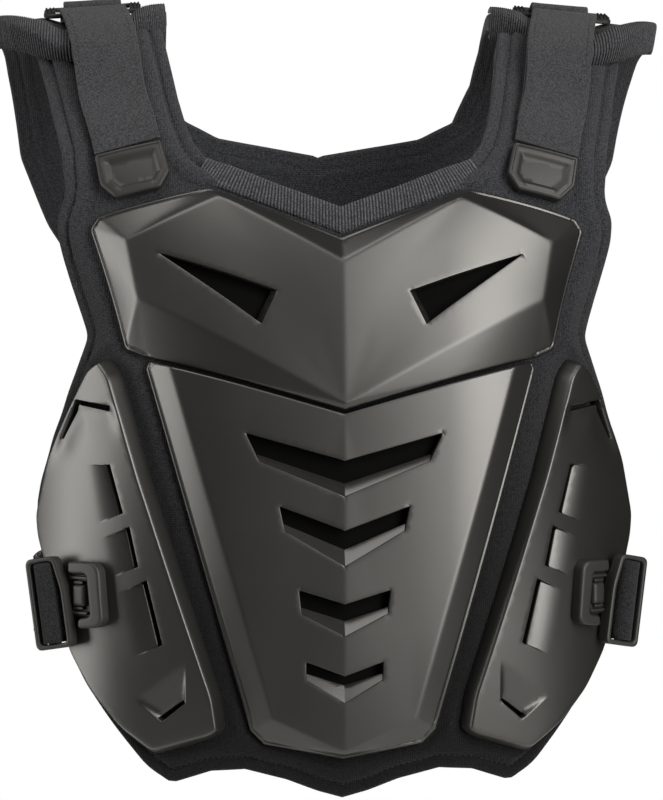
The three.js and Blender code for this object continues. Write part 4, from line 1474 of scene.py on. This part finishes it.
KNIT_WIDTH = 16
RIB_STEPS = 6
NECK_SECTION = [
    (0.0, 0.8, 0.3), (0.04, 1.2, 0.8), (0.12, 1.5, 1), (0.25, 1.7, 1), (0.4, 1.8, 1), (0.55, 1.8, 1),
    (0.7, 1.7, 1), (0.84, 1.5, 1), (0.94, 1.2, 0.8), (1.0, 0.7, 0.2), (0.95, 0.3, 0), (0.5, 0.2, 0),
    (0.05, 0.3, 0),
]
FLAP_SECTION = [
    (1.0, 1.2, 0.2), (0.96, 2.3, 0.8), (0.88, 2.9, 1), (0.7, 3.2, 1), (0.5, 3.3, 1), (0.3, 3.2, 1),
    (0.12, 2.9, 1), (0.0, 2.2, 1), (-0.07, 0.8, 1), (-0.11, -1.6, 1), (-0.13, -4.5, 1), (-0.11, -7.4, 1),
    (-0.06, -9.6, 1), (0.04, -10.9, 1), (0.2, -11.2, 1), (0.4, -11.1, 0.8), (0.46, -10.2, 0), (0.4, -9.3, 0),
    (0.08, -9.2, 0), (-0.02, -7.2, 0), (-0.05, -4.5, 0), (-0.02, -1.6, 0), (0.06, 0.3, 0), (0.5, 0.7, 0),
    (0.95, 0.6, 0),
]


# Finishes

# Painted light on the pad: between these heights its colour is scaled from the first share to the second,
# darker at the hem and lighter at the shoulders
PAINTED_LIGHT_HEIGHTS = (-0.40, -0.02)
PAD_PAINTED_LIGHT = (0.42, 2.8)
# Painted shade in the grooves between the knit's ribs and painted light on their crests, as shares of the
# colour
RIB_PAINTED_SHADE_AND_LIGHT = (0.3, 1.7)
# Painted shade: share of the gloss colour for the near-black sheets inside the vents
VENT_PAINTED_SHADE = 0.3
# Painted light: share by which the neck band's knit is made brighter than the same knit at the shoulders
NECK_PAINTED_LIGHT = 1.25
SIDE_SHADE = 0.45
THREAD_SHADE = 0.7
MOTTLE_ENDS = (0.3, 0.7)
PLASTIC = {"mottle": 35.0, "shades": (0.9, 1.1), "grain": 1600.0, "depth": 0.2 * MM}
CLOTH = {
    "roughness": 0.92, "sheen_roughness": 0.6, "shine": 0.06, "mottle": 950.0, "shades": (0.4, 1.7),
    "fuzz": 1400.0, "fuzz_detail": 3.0,
}
THREAD_WANDER = 0.6
WAVE_TURNS = 20


def new_finish(name, colour, roughness):
    """Material with its shader's plain values set."""
    finish = bpy.data.materials.new(name)
    finish.use_nodes = True
    shader = finish.node_tree.nodes["Principled BSDF"]
    shader.inputs["Base Color"].default_value = (*colour, 1.0)
    shader.inputs["Roughness"].default_value = roughness
    return finish, finish.node_tree, shader


def coordinates(tree, kind):
    return tree.nodes.new("ShaderNodeTexCoord").outputs[kind]


def noise(tree, vector, scale, detail=2.0):
    node = tree.nodes.new("ShaderNodeTexNoise")
    node.inputs["Scale"].default_value = scale
    node.inputs["Detail"].default_value = detail
    tree.links.new(vector, node.inputs["Vector"])
    return node.outputs["Fac"]


def threads(tree, vector, pitch, direction):
    """Parallel threads of a pitch in metres."""
    node = tree.nodes.new("ShaderNodeTexWave")
    node.bands_direction = direction
    node.inputs["Scale"].default_value = 2 * math.pi / WAVE_TURNS / pitch
    node.inputs["Distortion"].default_value = THREAD_WANDER
    node.inputs["Detail Scale"].default_value = 1.0
    tree.links.new(vector, node.inputs["Vector"])
    return node.outputs["Fac"]


def mottle(tree, shader, vector, colour, scale, shades):
    """Base colour that varies a little over the surface."""
    ramp = tree.nodes.new("ShaderNodeValToRGB")
    for stop, place, share in zip(ramp.color_ramp.elements, MOTTLE_ENDS, shades):
        stop.position = place
        stop.color = (*(part * share for part in colour), 1.0)
    tree.links.new(noise(tree, vector, scale), ramp.inputs["Fac"])
    tree.links.new(ramp.outputs["Color"], shader.inputs["Base Color"])


def painted_height_light(tree, shader, place, fade):
    """Painted light: multiplies a base colour by a factor that runs from the hem up to the shoulders."""
    split = tree.nodes.new("ShaderNodeSeparateXYZ")
    tree.links.new(place, split.inputs[0])
    height = tree.nodes.new("ShaderNodeMapRange")
    height.interpolation_type = "SMOOTHSTEP"
    height.inputs["From Min"].default_value, height.inputs["From Max"].default_value = PAINTED_LIGHT_HEIGHTS
    height.inputs["To Min"].default_value, height.inputs["To Max"].default_value = fade
    tree.links.new(split.outputs["Z"], height.inputs["Value"])
    shade(tree, shader, height.outputs["Result"])


def shade(tree, shader, factor):
    """Multiplies a base colour by a factor."""
    scale = tree.nodes.new("ShaderNodeVectorMath")
    scale.operation = "SCALE"
    tree.links.new(shader.inputs["Base Color"].links[0].from_socket, scale.inputs[0])
    tree.links.new(factor, scale.inputs["Scale"])
    tree.links.new(scale.outputs[0], shader.inputs["Base Color"])


def raise_surface(tree, shader, height, strength, distance):
    bump = tree.nodes.new("ShaderNodeBump")
    bump.inputs["Strength"].default_value = strength
    bump.inputs["Distance"].default_value = distance
    tree.links.new(height, bump.inputs["Height"])
    tree.links.new(bump.outputs["Normal"], shader.inputs["Normal"])


def plastic_finish(name, colour, roughness, grain, shine=0.5):
    """Moulded plastic with a faint grain."""
    finish, tree, shader = new_finish(name, colour, roughness)
    shader.inputs["Specular IOR Level"].default_value = shine
    place = coordinates(tree, "Object")
    mottle(tree, shader, place, colour, PLASTIC["mottle"], PLASTIC["shades"])
    raise_surface(tree, shader, noise(tree, place, PLASTIC["grain"]), grain, PLASTIC["depth"])
    return finish


def cloth_finish(name, colour, pitch, depth, fuzz, sheen, fade=(1.0, 1.0)):
    """Woven cloth: two sets of threads, a short fuzz and painted light that can change the colour from hem to
    shoulder.
    """
    finish, tree, shader = new_finish(name, colour, CLOTH["roughness"])
    shader.inputs["Sheen Weight"].default_value = sheen
    shader.inputs["Sheen Roughness"].default_value = CLOTH["sheen_roughness"]
    shader.inputs["Specular IOR Level"].default_value = CLOTH["shine"]
    flat = coordinates(tree, "UV")
    place = coordinates(tree, "Object")
    mottle(tree, shader, place, colour, CLOTH["mottle"], CLOTH["shades"])
    # Painted light: the base colour scaled from hem to shoulder
    painted_height_light(tree, shader, place, fade)
    weave = math_node(tree, "MULTIPLY", threads(tree, flat, pitch, "X"), threads(tree, flat, pitch, "Y"))
    rough = math_node(tree, "MULTIPLY", noise(tree, flat, CLOTH["fuzz"], CLOTH["fuzz_detail"]), fuzz)
    raise_surface(tree, shader, math_node(tree, "ADD", weave, rough), 1.0, depth)
    return finish


def rib_finish(name, tint, spacing):
    """Knit cloth with painted shade between its ribs and painted light on their crests."""
    finish = cloth_finish(name, tint, pitch=0.9 * MM, depth=0.2 * MM, fuzz=0.5, sheen=0.05)
    tree = finish.node_tree
    # Painted shade and light: the colour is scaled down in the grooves and up on the crests
    ribs = threads(tree, coordinates(tree, "UV"), spacing, "Y")
    groove, crest = RIB_PAINTED_SHADE_AND_LIGHT
    factor = math_node(tree, "ADD", math_node(tree, "MULTIPLY", ribs, crest - groove), groove)
    shade(tree, tree.nodes["Principled BSDF"], factor)
    return finish


# Add-on


def length(label, about, default):
    return bpy.props.FloatProperty(
        name=label, description=about, default=default, min=0.0, precision=5,
        unit="LENGTH", subtype="DISTANCE",
    )


def colour(label, about, default):
    return bpy.props.FloatVectorProperty(
        name=label, description=about, default=default, size=3, min=0.0, max=1.0, subtype="COLOR"
    )


class VestSizes(bpy.types.PropertyGroup):
    """Sizes that a user would change."""

    roll_height: length("Roll height", "How far the roll inside a panel's bound edge stands up", 2.2 * MM)
    rib_spacing: length("Rib spacing", "Distance between the ribs of the knit bands", 2.0 * MM)
    rib_height: length("Rib height", "How far the ribs of the knit bands stand up", 1.0 * MM)
    stitch_pitch: length("Stitch pitch", "Distance from one stitch to the next", 3.4 * MM)
    stitch_length: length("Stitch length", "Length of one stitch", 2.5 * MM)
    thread_radius: length("Thread radius", "Half the thickness of the sewing thread", 0.32 * MM)


class VestColours(bpy.types.PropertyGroup):
    """Colours that a user would change."""

    pad: colour("Pad cloth", "Woven cover of the panels", (0.0056, 0.0059, 0.0069))
    plate: colour("Plates", "Moulded plates", (0.0050, 0.0050, 0.0048))
    gloss: colour("Vent floors", "Glossy floors and lips of the vents", (0.008, 0.008, 0.008))
    knit: colour("Knit", "Ribbed knit bands", (0.017, 0.0177, 0.0205))
    webbing: colour("Webbing", "Straps", (0.0160, 0.0168, 0.0195))
    plastic: colour("Fittings", "Buckles, rings and tabs", (0.010, 0.010, 0.010))
    floor: colour("Floor", "Plain floor under the vest", (0.75, 0.75, 0.75))


def made_once(name):
    """Keeps a finish under its name, so that it is made only once."""

    def keep(make):
        return lambda context: bpy.data.materials.get(name) or make(context, name)

    return keep


def tinted(context, name, share=1.0):
    """Colour that the user chose, or a share of it."""
    return tuple(part * share for part in getattr(context.scene.vest_colours, name))


@made_once("plate plastic")
def plate_finish(context, name):
    return plastic_finish(name, tinted(context, "plate"), roughness=0.37, grain=0.12)


@made_once("vent gloss")
def gloss_finish(context, name):
    return plastic_finish(name, tinted(context, "gloss"), roughness=0.22, grain=0.05, shine=0.4)


# Painted shade: a near-black matt finish for the sheets behind the vents
@made_once("vent depth")
def painted_shade_finish(context, name):
    return plastic_finish(name, tinted(context, "gloss", VENT_PAINTED_SHADE), roughness=0.7, grain=0.05, shine=0.0)


@made_once("fitting plastic")
def fitting_finish(context, name):
    return plastic_finish(name, tinted(context, "plastic"), roughness=0.5, grain=0.1, shine=0.22)


@made_once("sewing thread")
def thread_finish(context, name):
    return plastic_finish(name, tinted(context, "webbing", THREAD_SHADE), roughness=0.8, grain=0.1, shine=0.1)


@made_once("pad cloth")
def pad_finish(context, name):
    tint = tinted(context, "pad")
    # The pad's colour carries painted light, darker at the hem and lighter at the shoulders
    return cloth_finish(name, tint, pitch=1.3 * MM, depth=0.35 * MM, fuzz=0.6, sheen=0.03, fade=PAD_PAINTED_LIGHT)


@made_once("rib knit")
def knit_finish(context, name):
    return rib_finish(name, tinted(context, "knit"), context.scene.vest_sizes.rib_spacing)


# Painted light: a brighter copy of the knit finish, for the neck band
@made_once("neck knit")
def painted_light_neck_finish(context, name):
    return rib_finish(name, tinted(context, "knit", NECK_PAINTED_LIGHT), context.scene.vest_sizes.rib_spacing)


@made_once("woven webbing")
def webbing_finish(context, name):
    tint = tinted(context, "webbing")
    return cloth_finish(name, tint, pitch=1.0 * MM, depth=0.3 * MM, fuzz=1.2, sheen=0.05)


@made_once("side webbing")
def side_finish(context, name):
    tint = tinted(context, "webbing", SIDE_SHADE)
    return cloth_finish(name, tint, pitch=1.0 * MM, depth=0.3 * MM, fuzz=1.2, sheen=0.03)


class VEST_OT_plates(bpy.types.Operator):
    """Make the chest, abdomen and side plates with their vents"""

    bl_idname = "vest.plates"
    bl_label = "Plates"

    def execute(self, context):
        vents = [anticlockwise(sided(CHEST_VENT["opening"], side)) for _, side in SIDES]
        chest = facet_plate(CHEST_CORNERS, CHEST_FACETS, CHEST_OUTLINE, CHEST_BEAD, vents)
        lips, shade_sheets = both_sides(CHEST_VENT["lip"]), both_sides(liner(CHEST_VENT["opening"], LINER_DEPTH))
        self.make(context, "chest", chest, lips, shade_sheets)
        abdomen = facet_plate(
            ABDOMEN_CORNERS, ABDOMEN_FACETS, ABDOMEN_OUTLINE, ABDOMEN_BEAD, abdomen_openings()
        )
        self.make(context, "abdomen", abdomen, *abdomen_lips())
        for name, side in SIDES:
            self.make(context, "side", side_plate(side), [], [], f"_{name}")
        return {"FINISHED"}

    def make(self, context, name, plate, lips, shade_sheets, end=""):
        shape = Shape()
        plate.build(shape)
        shell = shape.piece(f"{name}_shell{end}", plate_finish(context), sharp=42)
        finish_piece(shell, "plate", f"{name}_plate{end}")
        # The depths are dark sheets that paint the shade inside the vents
        for label, floors, finish in (("lips", lips, gloss_finish), ("depths", shade_sheets, painted_shade_finish)):
            shape = Shape()
            for floor in floors:
                plate.floor(shape, floor)
            if floors:
                finish_piece(shape.piece(f"{name}_vent_{label}", finish(context), sharp=42), "plate")


class VEST_OT_pads(bpy.types.Operator):
    """Make the padded front and back panels"""

    bl_idname = "vest.pads"
    bl_label = "Padded panels"

    def execute(self, context):
        roll = context.scene.vest_sizes.roll_height / MM
        finish = pad_finish(context)
        for name, make, faces in (("front", front_panel, front_faces), ("back", back_panel, back_faces)):
            panel, coarse = make(), make(coarse=True)
            top, under = faces(panel, roll)
            top = top + stuffing(panel, coarse, faces(coarse, roll), finish)
            pad = panel.build(f"{name}_pad", finish, top, under)
            finish_piece(pad, "pad", f"{name}_panel")
        return {"FINISHED"}


class VEST_OT_bands(bpy.types.Operator):
    """Make the ribbed knit bands at the neck and the flap ends"""

    bl_idname = "vest.bands"
    bl_label = "Knit bands"

    def execute(self, context):
        sizes, finish = context.scene.vest_sizes, knit_finish(context)
        top, low = (
            np.concatenate([np.array(half[:0:-1], float) * (-1, 1), half])
            for half in (NECK_BAND_TOP, NECK_BAND_LOW)
        )
        upper, lower, share = lines_along(top, low, sizes.rib_spacing / MM / RIB_STEPS)
        sink = -NECK_SINK["depth"] * smoothstep(np.abs(share - 0.5), *NECK_SINK["ends"])
        band, reach = knit_band(
            "neck_knit", FRONT, upper, lower, NECK_SECTION, sink, painted_light_neck_finish(context), sizes
        )
        finish_piece(band, "knit", "neck_band")
        for name, side in SIDES:
            u = np.linspace(FLAP_BAND["inner"], FLAP_BAND["outer"], FLAP_BAND["columns"])
            edge = flap_end(u, np.full(len(u), float(FLAP["end"]))) - FLAP_BAND["setback"]
            upper = np.stack([side * u, edge], 1)
            lower = np.stack([side * u, edge - FLAP_BAND["width"]], 1)
            band, reach = knit_band(
                f"shoulder_knit_{name}", BACK, upper, lower, FLAP_SECTION, flap_swell(u), finish, sizes
            )
            finish_piece(band, "knit", f"shoulder_band_{name}")
        return {"FINISHED"}


class VEST_OT_straps(bpy.types.Operator):
    """Make the webbing of the shoulders, the ring keepers and the sides"""

    bl_idname = "vest.straps"
    bl_label = "Webbing"

    def execute(self, context):
        finish = webbing_finish(context)
        for name, side in SIDES:
            shoulder = stations_on([*STRAP_UP, *half_turn(STRAP_BAR, -1), *STRAP_DOWN], side)
            keeper = stations_on([*KEEPER_LOW, *half_turn(KEEPER_BAR, 1), *KEEPER_HIGH], side)
            for label, node, stations, width, look, rest in (
                ("shoulder", "shoulder_strap", shoulder, WEBBING_WIDTH, finish, "front_pad"),
                ("keeper", "ring_keeper", keeper, KEEPER_WIDTH, finish, "back_pad"),
                ("side", "side_strap", side_stations(side), SIDE_WIDTH, side_finish(context), "back_pad"),
            ):
                self.make(f"{label}_webbing_{name}", stations, width, look, f"{node}_{name}", rest)
        return {"FINISHED"}

    def make(self, name, stations, width, finish, node, rest):
        shape = Shape()
        reach = webbing(shape, stations, width, WEBBING_THICKNESS)
        piece = finish_piece(shape.piece(name, finish, sharp=60), "webbing", node)


class VEST_OT_fittings(bpy.types.Operator):
    """Make the strap tabs, shoulder rings and side buckles"""

    bl_idname = "vest.fittings"
    bl_label = "Tabs, rings and buckles"

    def execute(self, context):
        finish = fitting_finish(context)
        for name, side in SIDES:
            for label, node, build in (
                ("tab", "strap_tab", self.tab),
                ("ring", "shoulder_ring", shoulder_ring),
                ("housing", "buckle_housing", self.housing),
                ("pin", "buckle_pin", self.pin),
                ("frame", "buckle_frame", buckle_frame),
            ):
                shape = Shape()
                build(shape, side)
                piece = shape.piece(f"{label}_{name}", finish, sharp=40)
                finish_piece(piece, "plastic", f"{node}_{name}")
        return {"FINISHED"}

    def tab(self, shape, side):
        def level(gap):
            bevel = TAB["bevel"] * np.clip(1.0 - gap / TAB["bevel"], 0.0, 1.0)
            border = TAB["border"] * smoothstep(gap, *TAB["border_edge"])
            brink, bed = TAB["pocket_edge"]
            pocket = TAB["pocket"] * np.clip((gap - brink) / (bed - brink), 0.0, 1.0)
            return TAB["high"] - border - pocket - bevel

        outline = round_corners(sided(TAB["outline"], side), TAB["corner"])
        block(shape, outline, level, TAB["low"], TAB["rows"])

    def housing(self, shape, side):
        outline = round_corners(sided(HOUSING["outline"], side), *HOUSING["corner"])
        block(shape, outline, rounded_top(HOUSING["high"], HOUSING["edge"]), HOUSING["low"])

    def pin(self, shape, side):
        for part in PIN_BLOCKS:
            flat = sided(rectangle(part["middle"], *part["size"]), side)
            outline = round_corners(flat, *part["corner"])
            block(shape, outline, rounded_top(part["high"], part["edge"]), HOUSING["low"], part["rows"])


SEAM = {"skip": 8, "part": 3}


def seam_lines(panel, top, gap, place):
    """Lines on a panel's outer face at a distance from its outer edge, neckline and hem."""
    layers = np.stack([gap, panel.u.ravel(), panel.v.ravel(), top]).reshape(4, *panel.shape)
    first = np.flatnonzero(panel.open)[0] + SEAM["skip"]
    rows = layers.transpose(1, 0, 2)
    chains = []
    for family in (rows[:, :, ::-1], rows[first:], layers.transpose(2, 0, 1)):
        chain = []
        for near, *values in family:
            ahead = np.flatnonzero(near >= place)
            if len(ahead) and 0 < ahead[0] < len(near) // SEAM["part"]:
                after = ahead[0]
                share = (place - near[after - 1]) / (near[after] - near[after - 1])
                chain.append([line[after - 1] + share * (line[after] - line[after - 1]) for line in values])
        chains.append(np.array(chain))
    return chains


class VEST_OT_stitching(bpy.types.Operator):
    """Sew the front panel's binding and the shoulder straps"""

    bl_idname = "vest.stitching"
    bl_label = "Stitching"

    PROUD = 0.15

    def execute(self, context):
        panel = front_panel()
        top, _ = front_faces(panel, context.scene.vest_sizes.roll_height / MM)
        gap = edge_distance(panel.points, *panel.rim(with_top=False))
        rows = seam_lines(panel, top, gap, GROOVE["place"])
        for name, side in SIDES:
            lines = [FRONT.place(side * u, v, h + self.PROUD) for u, v, h in (row.T for row in rows)]
            lines += [self.beside(side, across) for across in (-STITCH_INSET, STITCH_INSET)]
            self.sew(context, f"stitches_{name}", lines)
        return {"FINISHED"}

    def beside(self, side, across):
        lift = WEBBING_THICKNESS / 2 + self.PROUD
        rows = [(sheet, u + across, v, h + lift) for sheet, u, v, h in STRAP_DOWN]
        centres, turned = zip(*stations_on(rows, side))
        return smooth_path(centres, turned, WEBBING_SPACING * MM)[0]

    def sew(self, context, name, lines):
        sizes, finish = context.scene.vest_sizes, thread_finish(context)
        mesh = bpy.data.meshes.new(name)
        edges, first = [], 0
        for line in lines:
            edges += [(first + index, first + index + 1) for index in range(len(line) - 1)]
            first += len(line)
        mesh.from_pydata(np.concatenate(lines).tolist(), edges, [])
        piece = bpy.data.objects.new(name, mesh)
        bpy.context.scene.collection.objects.link(piece)
        tree, names = stitch_tree()
        values = {
            "Stitch pitch": sizes.stitch_pitch, "Stitch length": sizes.stitch_length,
            "Thread radius": sizes.thread_radius, "Material": finish,
        }
        finish_piece(run_tree(piece, tree, names, values), "webbing")


class VEST_OT_stage(bpy.types.Operator):
    """Make the floor, the studio light and the camera"""

    bl_idname = "vest.stage"
    bl_label = "Stage"

    CENTRE = Vector((0.0, 0.0, -0.233))
    LIGHTS = (
        ("softbox", 34, 15, 2.2, (1.0, 2.3), 130.0),
        ("side strip", -85, 4, 1.9, (1.0, 1.8), 50.0),
        ("top light", -32, 62, 1.15, (0.8, 0.8), 12.0),
        ("back light", 176, 0, 2.4, (0.5, 0.5), 70.0),
    )
    WARM = (1.0, 0.97, 0.91)
    WHITE = (1.0, 1.0, 1.0, 1.0)
    GLOW = 0.03
    FLOOR = {"half": 1.2, "level": -1.0, "roughness": 0.9}
    LENS = {"length": 122.6, "shift": 0.0035, "turn": -4.0, "distance": 1.7}

    def execute(self, context):
        scene = context.scene
        scene.view_settings.view_transform = "Standard"
        self.floor(tuple(scene.vest_colours.floor))
        for name, azimuth, rise, distance, size, power in self.LIGHTS:
            self.light(name, azimuth, rise, distance, size, power)
        self.surroundings(scene)
        self.camera(scene)
        return {"FINISHED"}

    def floor(self, tint):
        finish, _, _ = new_finish("pale floor", tint, self.FLOOR["roughness"])
        size, level = self.FLOOR["half"], self.FLOOR["level"]
        points = [(-size, -size, level), (size, -size, level), (size, size, level), (-size, size, level)]
        new_piece("floor", points, [(0, 1, 2, 3)], finish)

    def light(self, name, azimuth, rise, distance, size, power):
        lamp = bpy.data.lights.new(name, "AREA")
        lamp.shape = "RECTANGLE"
        lamp.size, lamp.size_y = size
        lamp.energy = power
        lamp.color = self.WARM
        self.aim(bpy.data.objects.new(name, lamp), azimuth, rise, distance)

    def aim(self, holder, azimuth, rise, distance):
        """Puts a light or a camera round the vest, facing it."""
        turn, lift = math.radians(azimuth), math.radians(rise)
        way = Vector((math.sin(turn) * math.cos(lift), -math.cos(turn) * math.cos(lift), math.sin(lift)))
        holder.location = self.CENTRE + way * distance
        holder.rotation_euler = way.to_track_quat("Z", "Y").to_euler()
        bpy.context.scene.collection.objects.link(holder)

    def surroundings(self, scene):
        world = bpy.data.worlds.new("white studio")
        scene.world = world
        world.use_nodes = True
        tree = world.node_tree
        seen = tree.nodes["Background"]
        seen.inputs["Color"].default_value = self.WHITE
        around = tree.nodes.new("ShaderNodeBackground")
        around.inputs["Color"].default_value = self.WHITE
        around.inputs["Strength"].default_value = self.GLOW
        mix = tree.nodes.new("ShaderNodeMixShader")
        tree.links.new(tree.nodes.new("ShaderNodeLightPath").outputs["Is Camera Ray"], mix.inputs[0])
        tree.links.new(around.outputs[0], mix.inputs[1])
        tree.links.new(seen.outputs[0], mix.inputs[2])
        tree.links.new(mix.outputs[0], tree.nodes["World Output"].inputs["Surface"])

    def camera(self, scene):
        lens = bpy.data.cameras.new("camera")
        lens.lens = self.LENS["length"]
        lens.shift_x = self.LENS["shift"]
        eye = bpy.data.objects.new("camera", lens)
        self.aim(eye, self.LENS["turn"], 0.0, self.LENS["distance"])
        scene.camera = eye


class VEST_PT_sidebar(bpy.types.Panel):
    """Sizes, colours and pieces of the vest"""

    bl_idname = "VEST_PT_sidebar"
    bl_label = "Body armor vest"
    bl_space_type = "VIEW_3D"
    bl_region_type = "UI"
    bl_category = "Vest"

    def draw(self, context):
        for group in (context.scene.vest_sizes, context.scene.vest_colours):
            for name in group.__annotations__:
                self.layout.prop(group, name)
        for operator in OPERATORS:
            self.layout.operator(operator.bl_idname)


OPERATORS = (
    VEST_OT_stage, VEST_OT_plates, VEST_OT_pads, VEST_OT_bands, VEST_OT_straps, VEST_OT_fittings,
    VEST_OT_stitching,
)
CLASSES = (VestSizes, VestColours, *OPERATORS, VEST_PT_sidebar)


def register():
    for kind in CLASSES:
        bpy.utils.register_class(kind)
    bpy.types.Scene.vest_sizes = bpy.props.PointerProperty(type=VestSizes)
    bpy.types.Scene.vest_colours = bpy.props.PointerProperty(type=VestColours)


def unregister():
    del bpy.types.Scene.vest_colours
    del bpy.types.Scene.vest_sizes
    for kind in reversed(CLASSES):
        bpy.utils.unregister_class(kind)


def main():
    register()
    bpy.ops.vest.stage()
    bpy.ops.vest.plates()
    bpy.ops.vest.pads()
    bpy.ops.vest.bands()
    bpy.ops.vest.straps()
    bpy.ops.vest.fittings()
    bpy.ops.vest.stitching()


if __name__ == "__main__":
    main()
